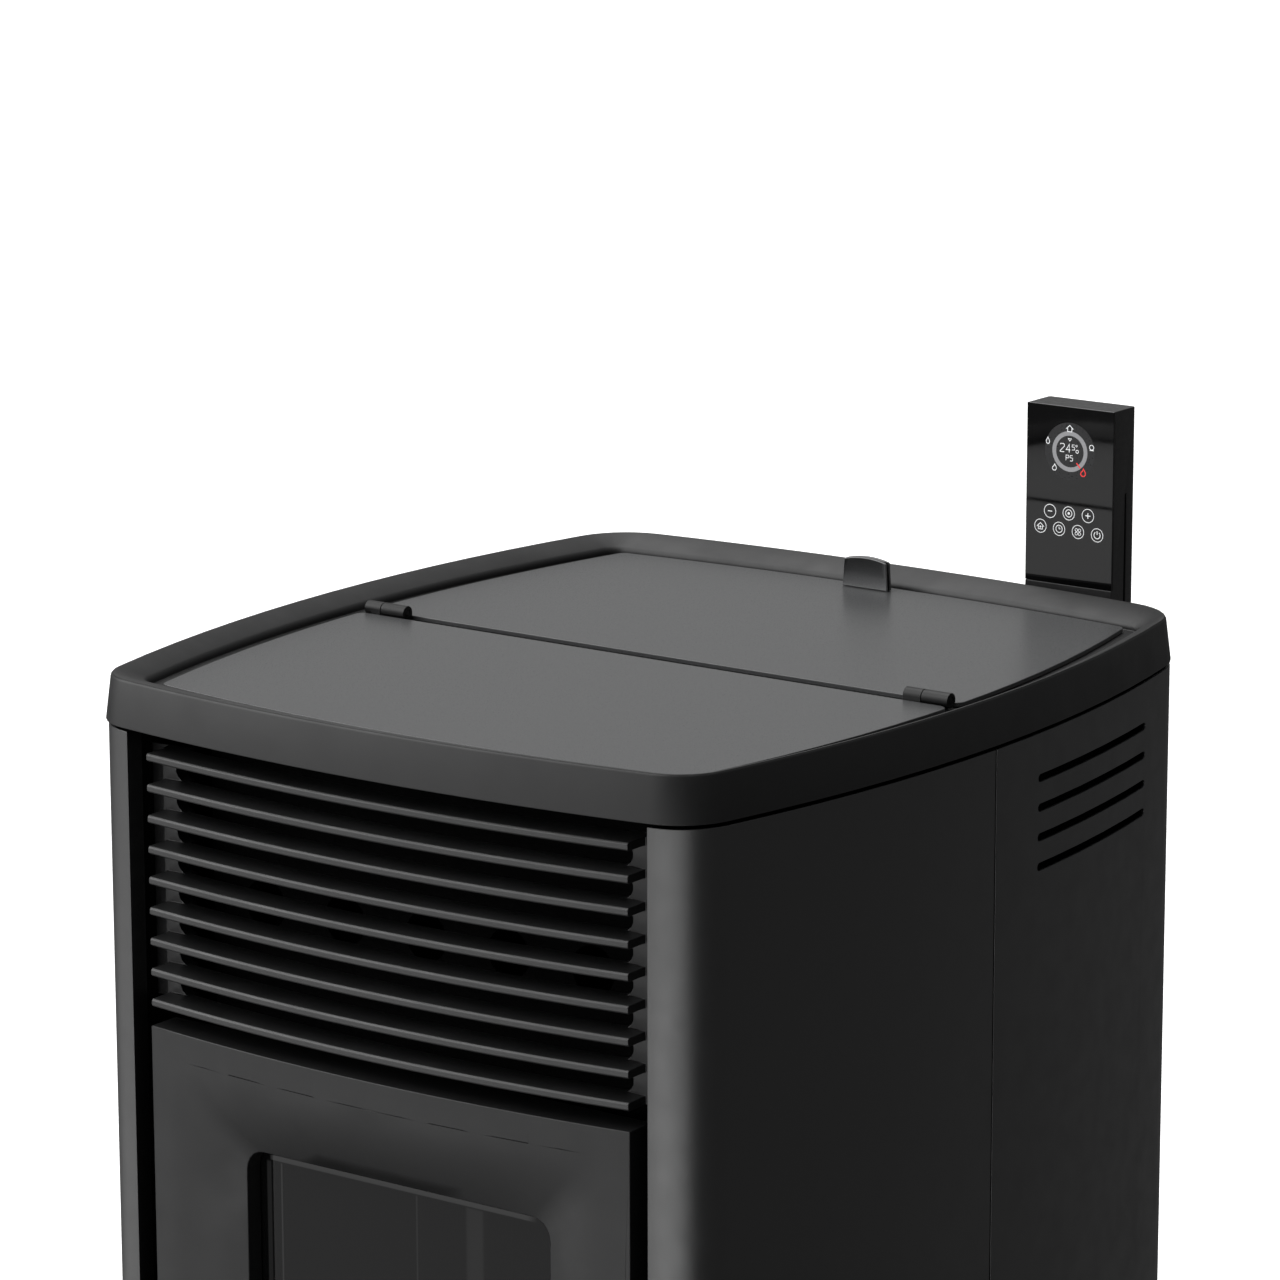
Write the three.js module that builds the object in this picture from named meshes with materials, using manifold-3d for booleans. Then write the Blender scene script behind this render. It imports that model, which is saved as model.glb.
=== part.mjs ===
// Pellet stove. Millimetres, +Z up, the front faces -Y and +X is on the right seen from the front.
// The body is drawn about its own middle, and the last lines set the origin under the whole part.
import * as THREE from "three";
import { mergeVertices } from "three/addons/utils/BufferGeometryUtils.js";
import Module from "manifold-3d";

const wasm = await Module();
wasm.setup();

// Fits
const GAP = 0.3; // between pieces that touch
const SHEET = 2; // folded steel sheet
const OVER = 1; // a cutting tool past what it cuts, and a joined piece into its neighbour
const RUN = 1.5; // clearance round a moving piece

// Body in plan: four long arcs, with rounded corners between them, at the tray's lip
const BODY_WIDTH = 518;
const BODY_FRONT = -293;
const BODY_BACK = 282;
const SIDE_ARC = 1066;
const FRONT_ARC = 1300;
const BACK_ARC = 1722;
const FRONT_CORNER = 40;
const BACK_CORNER = 49;

// Heights
const BODY_HEIGHT = 1080; // floor to the ridge of the top tray
const FOOT_HEIGHT = 20;
const BASE_THICKNESS = 3;
const TRAY_HEIGHT = 29.2; // lip to ridge
const TRAY_GAP = 2.4; // side panels to the tray's lip
const LID_DROP = 9.3; // ridge down to the lids
const LID_THICKNESS = 3;
const LEDGE_THICKNESS = 3; // of the tray under the lids

// Top tray in section, as distances in from its lip
const TRAY_DRAFT = 3.5;
const RIDGE_ROUND = 1.8;
const TRAY_WALL = 5;
const RIM_SIDE = 21.5; // the inner face ends in a rim round the lids' well
const RIM_FRONT = 32;
const RIM_BACK = 27.5;
const RIM_RISE = 1.6; // over the lids
const RIM_ROUND = 2.4;
const RIM_CORNER = 12;
const LEDGE_UNDER = 7; // how far the ledge reaches under the lids

// Lids and their hinges
const LID_SIDE = 32.7; // lids' edges, in from the tray's lip
const LID_FRONT = 38.2;
const LID_BACK = 32.6;
const LID_CORNER = 7;
const SPLIT_Y = -5.2;
const BARREL_RADIUS = 4.75;
const BARREL_RISE = 2.4; // barrel's axis over the lids
const BARREL_CLEAR = 0.7; // barrel to the lids' edges at the split
const LID_PIN_RADIUS = 2;
const BARREL_LENGTH = 32;
const SHORT_KNUCKLE = 13;
const BARREL_IN = 18.3; // lid's side to the barrel's middle
const LEAF_THICKNESS = 1.7;
const LEAF_LENGTH = 24;
const TAB_WIDTH = 35.6;
const TAB_TOP_WIDTH = 33;
const TAB_HEIGHT = 18.6;
const TAB_ARCH = 2.2;
const TAB_THICKNESS = 5.5;
const TAB_SETBACK = 8.2; // in from the lid's rear edge
const LEAF_CLEAR = 1.2; // leaf's end to the tray's ledge

// Casing
const PANEL_INSET = 0.6; // casing in from the lip, at the sides and the back
const PANEL_FRONT_INSET = 2.5; // and at the front
const PANEL_RETURN = 64.5; // lip's side to the side panels' front edges
const SEAM = 1.4; // between the front and rear side panels
const SEAM_Y = -8;
const SEAM_FLANGE = 14;
const POST_WIDTH = 14.2;
const POST_DEPTH = 26;
const POST_SETBACK = 31; // post's front face behind the tray's lip
const FRAME_SETBACK = 24; // frame's rear edge in from the rear lip
const FRAME_NOTCH = 18; // off the frame's top rear corner, for the tray
const PANEL_SLOTS = 4;
const PANEL_SLOT_START = 41.5;
const PANEL_SLOT_END = 196;
const PANEL_SLOT_HEIGHT = 5;
const PANEL_SLOT_PITCH = 18.6;
const PANEL_SLOT_DROP = 28.4; // first slot under the panel's top
const COVER_TOP_DROP = 4;
const LOUVRES = 6;
const LOUVRE_PITCH = 15;
const LOUVRE_HEIGHT = 6;
const LOUVRE_RISE = 40; // first louvre over the base

// Front face
const FACE_INSET = 5.5; // door, grille and drawer front, in from the lip
const FRONT_GAP = 13.2; // between the front pieces and the side panels
const SLATS = 9;
const SLAT_PITCH = 19.3;
const SLAT_HEIGHT = 5.3;
const SLAT_DEPTH = 24;
const SLAT_CHAMFER = 1.2;
const FIRST_SLAT_DROP = 43.1; // ridge to the first slat's top
const SLAT_SHORT = 0.9; // slat's end in from the door's edge
const GRILLE_WEB_INSET = 17; // web behind the slats' front ends
const GRILLE_WEB_OVER = 1.1; // web's edge outside the door's edge
const GRILLE_WEB_DEPTH = 9;
const GRILLE_SLOT_IN = 9.8; // slot's round end in from the door's edge
const DOOR_DROP = 17.2; // last slat's top to the door's top
const DOOR_HEIGHT = 535.8;
const ROW_GAP = 4; // between door, drawer and plinth
const DRAWER_FRONT_HEIGHT = 154;
const PLINTH_LIFT = 3;
const EAR_SETBACK = 6; // plinth's ear behind the post's front face

// Door
const DOOR_BACK_SETBACK = 41; // door's back plane behind the tray's lip
const WINDOW_SIDE = 65.8; // door's side to the window
const WINDOW_BAND = 69.5; // door's edge to the window, above and below
const WINDOW_CORNER = 13;
const WINDOW_SINK = 29; // window's edge behind the tray's lip
const BEVEL_MARGIN = 14;
const BEVEL_CORNER = 13;
const BEVEL_STEPS = 5;
const BEVEL_POWER = 1.5;
const GLASS_THICKNESS = 4;
const GLASS_LAP = 9.5;
const RETAINER_LAP = 8;
const RETAINER_THICKNESS = 1.5;
const ROPE_SIDE = 24.3; // door's side to the rope
const ROPE_WIDTH = 10;
const ROPE_CLEAR = 5;
const HINGE_HEIGHT = 46;
const UPPER_HINGE_RISE = 320; // door's bottom to the upper hinge
const LOWER_HINGE_RISE = 60; // and to the lower one
const HINGE_RADIUS = 3;
const HINGE_PIN = 1.5;
const HINGE_IN = 3.6; // hinge axis outside the door's edge
const HINGE_PROUD = 1.26; // hinge axis in front of the door's edge

// Handle and latch
const HANDLE_IN = 13; // spindle in from the door's right edge
const HANDLE_HEIGHT = 270; // spindle over the door's bottom
const SPINDLE_RADIUS = 5;
const HANDLE_STAND = 26;
const GRIP_LENGTH = 118;
const GRIP_RADIUS = 7;
const HANDLE_COLLAR_WIDTH = 4;
const HANDLE_COLLAR_DEPTH = 3.5;
const CAM_THICKNESS = 5;
const CAM_HEIGHT = 14;
const CAM_CLEAR = 2;
const KEEPER_REACH = 5.7;
const KEEPER_HEIGHT = 30;

// Ash drawer and its chamber
const CHAMBER_SIDE = 38.8; // post's inner face to the chamber
const CHAMBER_SHORT = 2; // chamber's back in front of the firebox's
const DRAWER_CLEAR = 6;
const DRAWER_HEIGHT = 105;
const DRAWER_BACK_CLEAR = 12;
const PULL_WIDTH = 130;
const PULL_HEIGHT = 18;
const PULL_DEPTH = 15;

// Firebox, burn pot and heat exchanger
const FIREBOX_SIDE = 24.8; // post's inner face to the firebox
const FIREBOX_WALL = 4;
const FIREBOX_BACK = -12;
const FIREBOX_DROP = 29.5; // door's bottom down to the firebox's
const FIREBOX_TOP_DROP = 18; // door's top down to the firebox's top
const LINING_THICKNESS = 18;
const LINING_DROP = 39; // inside of the firebox's roof down to the lining
const LINING_GROOVES = 4;
const LINING_GROOVE = 5;
const POT_SIZE = 88;
const POT_WALL = 3;
const POT_DEPTH = 75;
const POT_RIM = 12;
const POT_SINK = 18;
const POT_Y = -125;
const POT_HOLE_RADIUS = 3;
const POT_HOLES = 3; // along each side of the pot's floor
const IGNITER_RADIUS = 6;
const IGNITER_TAIL = 30;
const IGNITER_LIFT = 32;
const TUBES = 5;
const TUBE_RADIUS = 18;
const TUBE_WALL = 2.5;
const TUBE_MARGIN = 41; // end plate's side to the outer tube's axis
const EXCHANGER_SIDE = 7; // firebox's side to the end plates
const EXCHANGER_SETBACK = 61; // front end plate behind the tray's lip
const EXCHANGER_SHORT = 10; // rear end plate in front of the firebox's back
const EXCHANGER_HEIGHT = 188;

// Hopper and auger
const HOPPER_SIDE = 44; // frame's side sheet to the hopper
const HOPPER_FRONT = 12;
const HOPPER_REAR = 47; // frame's rear edge to the hopper
const HOPPER_RIM = 10;
const HOPPER_WALL = 2;
const HOPPER_KNEE_RISE = 470; // firebox's bottom up to the hopper's bend
const HOPPER_FOOT_RISE = 325; // and to its foot
const NECK_HALF = 30;
const NECK_FRONT = 95;
const NECK_BACK = 145;
const NECK_LENGTH = 100;
const GASKET_WIDTH = 8;
const AUGER_ANGLE = 60; // degrees above the floor
const AUGER_LOW_Y = 142;
const AUGER_RISE = 180; // firebox's bottom up to the auger's low end
const AUGER_LENGTH = 250;
const AUGER_RADIUS = 30;
const AUGER_WALL = 3;
const FLIGHT_CLEAR = 2.5;
const FLIGHT_PITCH = 42;
const FLIGHT_THICKNESS = 3;
const FLIGHT_STEPS = 14; // to a turn
const AUGER_SHAFT = 7;
const CHUTE_HALF = 26;
const CHUTE_RISE = 340; // firebox's bottom up to the chute
const CHUTE_HEIGHT = 50;
const CHUTE_BACK = 45;
const MOTOR_RADIUS = 28;
const MOTOR_LENGTH = 45;
const GEARBOX_SIZE = 66;
const GEARBOX_DEPTH = 26;

// Smoke fan, flue and combustion air
const SMOKE_IN = 77; // firebox's side to the fan's axis
const SMOKE_RISE = 45; // firebox's bottom up to the fan's axis
const SMOKE_RADIUS = 75;
const SMOKE_WALL = 2.5;
const SMOKE_FRONT = 150;
const SMOKE_DEPTH = 50;
const SMOKE_INLET = 30;
const SMOKE_SHAFT = 4;
const SMOKE_BLADES = 10;
const SMOKE_BLADE_THICKNESS = 2;
const SMOKE_HUB_RADIUS = 18;
const SMOKE_TIP_CLEAR = 8;
const SMOKE_SIDE_CLEAR = 6;
const SMOKE_FLANGE_RISE = 8;
const SMOKE_MOTOR_RADIUS = 34;
const SMOKE_MOTOR_LENGTH = 46;
const FLUE_ASIDE = 133; // fan's axis to the flue's
const FLUE_RADIUS = 40;
const FLUE_WALL = 2.5;
const FLUE_REACH = 30; // past the rear lip
const SPOUT_HALF = 44;
const INTAKE_IN = 60; // firebox's side to the pipe's axis
const INTAKE_RISE = 35; // firebox's bottom up to the pipe's axis
const INTAKE_RADIUS = 25;
const INTAKE_WALL = 2;
const INTAKE_REACH = 18; // past the rear lip
const COLLAR_WIDTH = 5;
const COLLAR_RISE = 4;

// Room fan
const ROOM_SIDE = 24; // fan's motor to the frame's side sheet
const ROOM_FRONT = 50;
const ROOM_DEPTH = 120;
const ROOM_HEIGHT = 150;
const ROOM_DRUM_RADIUS = 44;
const ROOM_BLADES = 16;
const ROOM_BLADE_WIDTH = 12;
const ROOM_BLADE_THICKNESS = 1.5;
const ROOM_BLADE_TILT = 34; // degrees
const ROOM_BLADE_IN = 7; // blade's middle in from the drum's rim
const ROOM_DRUM_CLEAR = 8;
const ROOM_INLET_SIDE = 20; // rear inlet in from the case's ends
const ROOM_INLET_MARGIN = 25; // and from its top and floor
const ROOM_SHAFT = 4;
const ROOM_MOTOR_RADIUS = 30;
const ROOM_MOTOR_LENGTH = 55;

// Electrics and the control panel
const BOARD_FRONT = 40;
const BOARD_LENGTH = 160;
const BOARD_LOW = 420;
const BOARD_HEIGHT = 180;
const BOARD_STAND = 6;
const BOARD_POST_RADIUS = 3;
const BOARD_POST_IN = 8;
// Each part on the board: how far it stands out, then its start, end, low and high on the card
const BOARD_PARTS = [
  [22, 15, 55, 20, 70],
  [12, 75, 145, 20, 35],
  [5, 80, 110, 80, 110],
  [12, 20, 140, 150, 165],
];
const INLET_IN = 66; // rear cover's side to the inlet's middle
const INLET_Z = 165;
const INLET_WIDTH = 60;
const INLET_HEIGHT = 30;
const INLET_DEPTH = 24;
const WELL_HALF = 11;
const WELL_RISE = 8;
const WELL_DEPTH = 15;
const PIN_PITCH = 6;
const PIN_RADIUS = 1.5;
const PIN_SINK = 3; // pin's tip behind the inlet's face
const SEAT_DEPTH = 12; // of the switch's seat
const SEAT_CLEAR = 1;
const SWITCH_WIDTH = 14;
const SWITCH_HEIGHT = 20;
const SWITCH_TILT = 7; // degrees that the rocker stands out of level
const ROCKER_FOOT = 3; // rocker's axis to its foot
const ROCKER_HORN = 3.5; // and to its raised ends
const ROCKER_DIP = 1.6; // and to the hollow between them
const PANEL_IN = 87.5; // rear cover's side to the panel's middle
const PANEL_WIDTH = 66;
const PANEL_STAND = 8.3; // panel's face behind the rear lip
const PANEL_DEPTH = 27;
const PANEL_RISE = 117.5; // panel's top over the tray's ridge
const PANEL_HEIGHT = 160;
const PANEL_ROUND = 2;
const PANEL_GLASS = 1.6;
const PANEL_GLASS_HEIGHT = 118;
const PANEL_GROOVE_BACK = 15.5; // groove in the panel's sides, behind its front
const PANEL_GROOVE_WIDTH = 2;
const PANEL_GROOVE_DEPTH = 2.5;
const PANEL_GROOVE_DROP = 56;
const SPINE_WIDTH = 22;
const SPINE_DEPTH = 6;
const SPINE_HEIGHT = 100;
const BRACKET_DROP = 70;

// Feet
const FOOT_SIDE_IN = 84; // foot's middle in from the lip
const FOOT_FRONT_IN = 88;
const FOOT_REAR_IN = 77;
const FOOT_RADIUS = 22;
const FOOT_PAD = 8;
const FOOT_NECK_RADIUS = 11;
const STEM_RADIUS = 5;
const SOCKET_RADIUS = 12;
const SOCKET_HEIGHT = 22;

// Levels and planes that follow from the sizes above
const BASE_TOP = FOOT_HEIGHT + BASE_THICKNESS;
const CASING_LOW = BASE_TOP + GAP;
const LIP_HALF = BODY_WIDTH / 2;
const LIP_Z = BODY_HEIGHT - TRAY_HEIGHT;
const LID_TOP = BODY_HEIGHT - LID_DROP;
const LID_LOW = LID_TOP - LID_THICKNESS;
const LEDGE_TOP = LID_LOW - GAP;
const LEDGE_LOW = LEDGE_TOP - LEDGE_THICKNESS;
const BARREL_CENTRE = LIP_HALF - LID_SIDE - BARREL_IN;
const LEAF_REACH = LIP_HALF - LID_SIDE - LEDGE_UNDER - LEAF_CLEAR;
const SPLIT_GAP = 2 * (BARREL_RADIUS + BARREL_CLEAR);
const FRAME_TOP = LEDGE_LOW - GAP;
const PANELS_TOP = LIP_Z - TRAY_GAP;
const OPENING_HALF = LIP_HALF - PANEL_RETURN;
const POST_INNER = OPENING_HALF + SHEET + GAP;
const FRAME_OUTER = POST_INNER + POST_WIDTH;
const FRAME_INNER = FRAME_OUTER - SHEET;
const FRAME_BACK = BODY_BACK - FRAME_SETBACK;
const POST_FRONT = BODY_FRONT + POST_SETBACK;
const COVER_FRONT = FRAME_BACK + GAP;
const COVER_BACK = COVER_FRONT + SHEET;
const FACE_HALF = OPENING_HALF - FRONT_GAP;
const FIRST_SLAT_TOP = BODY_HEIGHT - FIRST_SLAT_DROP;
const LAST_SLAT_TOP = FIRST_SLAT_TOP - (SLATS - 1) * SLAT_PITCH;
const DOOR_TOP = LAST_SLAT_TOP - DOOR_DROP;
const DOOR_LOW = DOOR_TOP - DOOR_HEIGHT;
const DOOR_BACK = BODY_FRONT + DOOR_BACK_SETBACK;
const WINDOW_HALF = FACE_HALF - WINDOW_SIDE;
const WINDOW_TOP = DOOR_TOP - WINDOW_BAND;
const WINDOW_LOW = DOOR_LOW + WINDOW_BAND;
const ROPE_HALF = FACE_HALF - ROPE_SIDE;
const GLASS_FRONT = DOOR_BACK + GAP;
const GLASS_BACK = GLASS_FRONT + GLASS_THICKNESS;
const RETAINER_BACK = GLASS_BACK + GAP + RETAINER_THICKNESS;
const FIREBOX_HALF = POST_INNER - FIREBOX_SIDE;
const FIREBOX_FRONT = RETAINER_BACK + GAP;
const FIREBOX_TOP = DOOR_TOP - FIREBOX_TOP_DROP;
const FIREBOX_BOTTOM = DOOR_LOW - FIREBOX_DROP;
const EXCHANGER_HALF = FIREBOX_HALF - EXCHANGER_SIDE;
const EXCHANGER_FRONT = BODY_FRONT + EXCHANGER_SETBACK;
const EXCHANGER_BACK = FIREBOX_BACK - EXCHANGER_SHORT;
const TUBE_PITCH = (2 * (EXCHANGER_HALF - TUBE_MARGIN)) / (TUBES - 1);
const HOPPER_HALF = FRAME_INNER - HOPPER_SIDE;
const HOPPER_BACK = FRAME_BACK - HOPPER_REAR;
const HOPPER_KNEE = FIREBOX_BOTTOM + HOPPER_KNEE_RISE;
const HOPPER_FOOT = FIREBOX_BOTTOM + HOPPER_FOOT_RISE;
const AUGER_LOW_Z = FIREBOX_BOTTOM + AUGER_RISE;
const CHUTE_LOW = FIREBOX_BOTTOM + CHUTE_RISE;
const SMOKE_X = FIREBOX_HALF - SMOKE_IN;
const SMOKE_Z = FIREBOX_BOTTOM + SMOKE_RISE;
const FLUE_X = SMOKE_X - FLUE_ASIDE;
const INTAKE_X = INTAKE_IN - FIREBOX_HALF;
const INTAKE_Z = FIREBOX_BOTTOM + INTAKE_RISE;
const FLUE_END = BODY_BACK + FLUE_REACH;
const INTAKE_END = BODY_BACK + INTAKE_REACH;
const ROOM_HALF = FRAME_INNER - ROOM_MOTOR_LENGTH - ROOM_SIDE;
const DRAWER_FRONT_TOP = DOOR_LOW - ROW_GAP;
const DRAWER_FRONT_LOW = DRAWER_FRONT_TOP - DRAWER_FRONT_HEIGHT;
const PLINTH_TOP = DRAWER_FRONT_LOW - ROW_GAP;
const CHAMBER_HALF = POST_INNER - CHAMBER_SIDE;
const CHAMBER_BACK = FIREBOX_BACK - CHAMBER_SHORT;
const CHAMBER_TOP = FIREBOX_BOTTOM - GAP;
const CHAMBER_FLOOR = PLINTH_TOP + SHEET;
const INLET_X = INLET_IN - FRAME_OUTER;
const PANEL_X = FRAME_OUTER - PANEL_IN;
const PANEL_FRONT = BODY_BACK + PANEL_STAND;
const PANEL_BACK = PANEL_FRONT + PANEL_DEPTH;
const PANEL_TOP = BODY_HEIGHT + PANEL_RISE;
const PANEL_LOW = PANEL_TOP - PANEL_HEIGHT;
const FOOT_X = LIP_HALF - FOOT_SIDE_IN;
const FOOT_FRONT_Y = BODY_FRONT + FOOT_FRONT_IN;
const FOOT_REAR_Y = BODY_BACK - FOOT_REAR_IN;
const RAD = Math.PI / 180;

const part = new THREE.Group();

// Paint and metal of the pieces
const finish = (color, roughness, metalness) =>
  new THREE.MeshStandardMaterial({ color, roughness, metalness });
const castIron = finish(0x1c1d1f, 0.6, 0.3);
const blackSheet = finish(0x242527, 0.5, 0.3);
const lidSheet = finish(0x3a3b3d, 0.55, 0.3);
const steel = finish(0x8b8d90, 0.45, 0.9);
const stone = finish(0xb3a58c, 0.9, 0);
const ropeGrey = finish(0x4a4a48, 0.95, 0);
const plastic = finish(0x17181a, 0.4, 0);
const glass = finish(0x0c0d0f, 0.08, 0);
const circuit = finish(0x1f5a34, 0.6, 0.1);

// A closed three.js geometry as a solid that can be joined and cut
function solid(geometry) {
  const open = geometry.index ? geometry.toNonIndexed() : geometry;
  const bare = new THREE.BufferGeometry();
  bare.setAttribute("position", open.getAttribute("position"));
  const merged = mergeVertices(bare, 1e-4);
  const vertProperties = new Float32Array(merged.getAttribute("position").array);
  const triVerts = new Uint32Array(merged.index.array);
  return new wasm.Manifold(new wasm.Mesh({ numProp: 3, vertProperties, triVerts }));
}

// A solid as a named mesh of the part
function piece(name, shape, material) {
  const { vertProperties, triVerts } = shape.getMesh();
  const geometry = new THREE.BufferGeometry();
  geometry.setAttribute("position", new THREE.BufferAttribute(vertProperties, 3));
  geometry.setIndex(new THREE.BufferAttribute(triVerts, 1));
  geometry.computeVertexNormals();
  const mesh = new THREE.Mesh(geometry, material);
  mesh.name = name;
  part.add(mesh);
}

const join = (...shapes) => shapes.reduce((all, shape) => all.add(shape));
const cut = (shape, ...tools) => tools.reduce((left, tool) => left.subtract(tool), shape);

function box(xa, xb, ya, yb, za, zb) {
  const size = [Math.abs(xb - xa), Math.abs(yb - ya), Math.abs(zb - za)];
  const geometry = new THREE.BoxGeometry(...size);
  geometry.translate((xa + xb) / 2, (ya + yb) / 2, (za + zb) / 2);
  return solid(geometry);
}

// A round bar along one axis, from a to b, through (u, v) of the other two axes in X, Y, Z order
function bar(axis, u, v, a, b, radius, sides = 24) {
  const geometry = new THREE.CylinderGeometry(radius, radius, Math.abs(b - a), sides);
  const middle = (a + b) / 2;
  if (axis === "x") geometry.rotateZ(Math.PI / 2).translate(middle, u, v);
  if (axis === "y") geometry.translate(u, middle, v);
  if (axis === "z") geometry.rotateX(Math.PI / 2).translate(u, v, middle);
  return solid(geometry);
}

// A flat outline in X and Y, raised from one height to another
function prism(points, za, zb) {
  const geometry = new THREE.ExtrudeGeometry(new THREE.Shape(points), {
    depth: zb - za,
    bevelEnabled: false,
  });
  return solid(geometry.translate(0, 0, za));
}

// Rings of equal length, skinned one to the next and closed at both ends
function loft(rings) {
  const count = rings[0].length;
  const vertices = rings.flat();
  const faces = [];
  rings.slice(1).forEach((_, r) => {
    for (let i = 0; i < count; i++) {
      const j = (i + 1) % count;
      const low = r * count;
      const high = low + count;
      faces.push(low + i, low + j, high + j, low + i, high + j, high + i);
    }
  });
  const last = (rings.length - 1) * count;
  for (let i = 1; i < count - 1; i++) {
    faces.push(0, i + 1, i, last, last + i, last + i + 1);
  }
  return turnedOut(vertices, faces);
}

// A closed band whose section is given at each step along a closed outline
function band(sections) {
  const steps = sections[0].length;
  const rows = sections.length;
  const faces = [];
  for (let r = 0; r < rows; r++) {
    for (let i = 0; i < steps; i++) {
      const a = r * steps + i;
      const b = r * steps + ((i + 1) % steps);
      const c = ((r + 1) % rows) * steps + ((i + 1) % steps);
      const d = ((r + 1) % rows) * steps + i;
      faces.push(a, b, c, a, c, d);
    }
  }
  return turnedOut(sections.flat(), faces);
}

function turnedOut(vertices, faces) {
  const build = (order) => {
    const geometry = new THREE.BufferGeometry().setFromPoints(vertices);
    geometry.setIndex(order);
    return solid(geometry);
  };
  const made = build(faces);
  return made.volume() > 0 ? made : build([...faces].reverse());
}

// Where two circles meet, on the side that has the larger x
function meeting(a, ra, b, rb) {
  const apart = a.distanceTo(b);
  const along = (ra * ra - rb * rb + apart * apart) / (2 * apart);
  const off = Math.sqrt(ra * ra - along * along);
  const way = b.clone().sub(a).normalize();
  const foot = a.clone().addScaledVector(way, along);
  const one = foot.clone().add(new THREE.Vector2(way.y, -way.x).multiplyScalar(off));
  const two = foot.clone().add(new THREE.Vector2(-way.y, way.x).multiplyScalar(off));
  return one.x > two.x ? one : two;
}

const sideCentre = new THREE.Vector2(LIP_HALF - SIDE_ARC, 0);
const frontCentre = new THREE.Vector2(0, BODY_FRONT + FRONT_ARC);
const backCentre = new THREE.Vector2(0, BODY_BACK - BACK_ARC);

// The body's plan, drawn in from the lip by its own distance at the sides, front and back
function plan(side, front, back, frontCorner, backCorner) {
  const sideRadius = SIDE_ARC - side;
  const frontRadius = FRONT_ARC - front;
  const backRadius = BACK_ARC - back;
  const near = meeting(sideCentre, sideRadius - frontCorner, frontCentre, frontRadius - frontCorner);
  const far = meeting(sideCentre, sideRadius - backCorner, backCentre, backRadius - backCorner);
  const angle = (from, to) => Math.atan2(to.y - from.y, to.x - from.x);
  const frontEnd = angle(frontCentre, near);
  const sideStart = angle(sideCentre, near);
  const sideEnd = angle(sideCentre, far);
  const backStart = angle(backCentre, far);
  const right = [
    ...arc(frontCentre, frontRadius, -Math.PI / 2, frontEnd, 7),
    ...arc(near, frontCorner, frontEnd, sideStart, 7),
    ...arc(sideCentre, sideRadius, sideStart, sideEnd, 14),
    ...arc(far, backCorner, sideEnd, backStart, 7),
    ...arc(backCentre, backRadius, backStart, Math.PI / 2, 7),
    new THREE.Vector2(0, backCentre.y + backRadius),
  ];
  const left = right.slice(1, -1).reverse();
  return [...right, ...left.map((p) => new THREE.Vector2(-p.x, p.y))];
}

function arc(centre, radius, from, to, steps) {
  return Array.from({ length: steps }, (_, i) => {
    const a = from + ((to - from) * i) / steps;
    return new THREE.Vector2(centre.x + radius * Math.cos(a), centre.y + radius * Math.sin(a));
  });
}

// The casing's plan, drawn in by one more distance from its outer face
const casingPlan = (d) => {
  const side = PANEL_INSET + d;
  return plan(side, PANEL_FRONT_INSET + d, side, FRONT_CORNER - d, BACK_CORNER - side);
};

// Y of the front arc at a distance in from the lip
function faceY(x, d) {
  const radius = FRONT_ARC - d;
  return frontCentre.y - Math.sqrt(radius * radius - x * x);
}

// A curved slab between two front arcs, as wide as two half widths
function frontSlab(half, d, rearY, za, zb, steps = 12) {
  const edge = Array.from({ length: steps + 1 }, (_, i) => {
    const x = -half + (2 * half * i) / steps;
    return new THREE.Vector2(x, faceY(x, d));
  });
  const rear = Array.from({ length: steps + 1 }, (_, i) => {
    const x = half - (2 * half * i) / steps;
    return new THREE.Vector2(x, rearY(x));
  });
  return prism([...edge, ...rear], za, zb);
}

// A ring in the XZ plane between two rectangles, with a thickness along Y
function frameRing(outerHalf, outerLow, outerHigh, width, ya, yb) {
  return cut(
    box(-outerHalf, outerHalf, ya, yb, outerLow, outerHigh),
    box(width - outerHalf, outerHalf - width, ya - OVER, yb + OVER, outerLow + width, outerHigh - width),
  );
}

// A long hole with round ends, cut along one axis through a wall
function longHole(axis, from, to, z, height, wallA, wallB) {
  const r = height / 2;
  const ends = [from + r, to - r];
  if (axis === "x") {
    const rounds = ends.map((y) => bar("x", y, z, wallA, wallB, r, 10));
    return join(box(wallA, wallB, ...ends, z - r, z + r), ...rounds);
  }
  const rounds = ends.map((x) => bar("y", x, z, wallA, wallB, r, 10));
  return join(box(...ends, wallA, wallB, z - r, z + r), ...rounds);
}

// Casing ------------------------------------------------------------------

const footPlaces = [
  ["front_left", -FOOT_X, FOOT_FRONT_Y],
  ["front_right", FOOT_X, FOOT_FRONT_Y],
  ["rear_left", -FOOT_X, FOOT_REAR_Y],
  ["rear_right", FOOT_X, FOOT_REAR_Y],
];

function basePlate() {
  const sockets = footPlaces.map(([, x, y]) =>
    bar("z", x, y, BASE_TOP - OVER, BASE_TOP + SOCKET_HEIGHT, SOCKET_RADIUS, 16),
  );
  const holes = footPlaces.map(([, x, y]) =>
    bar("z", x, y, 0, BASE_TOP + SOCKET_HEIGHT + OVER, STEM_RADIUS + GAP, 16),
  );
  const plate = prism(casingPlan(0), FOOT_HEIGHT, BASE_TOP);
  return cut(join(plate, ...sockets), ...holes);
}

function foot(x, y) {
  return join(
    bar("z", x, y, 0, FOOT_PAD, FOOT_RADIUS, 24),
    bar("z", x, y, FOOT_PAD - OVER, FOOT_HEIGHT - GAP, FOOT_NECK_RADIUS, 16),
    bar("z", x, y, FOOT_PAD, BASE_TOP + SOCKET_HEIGHT, STEM_RADIUS, 16),
  );
}

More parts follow.
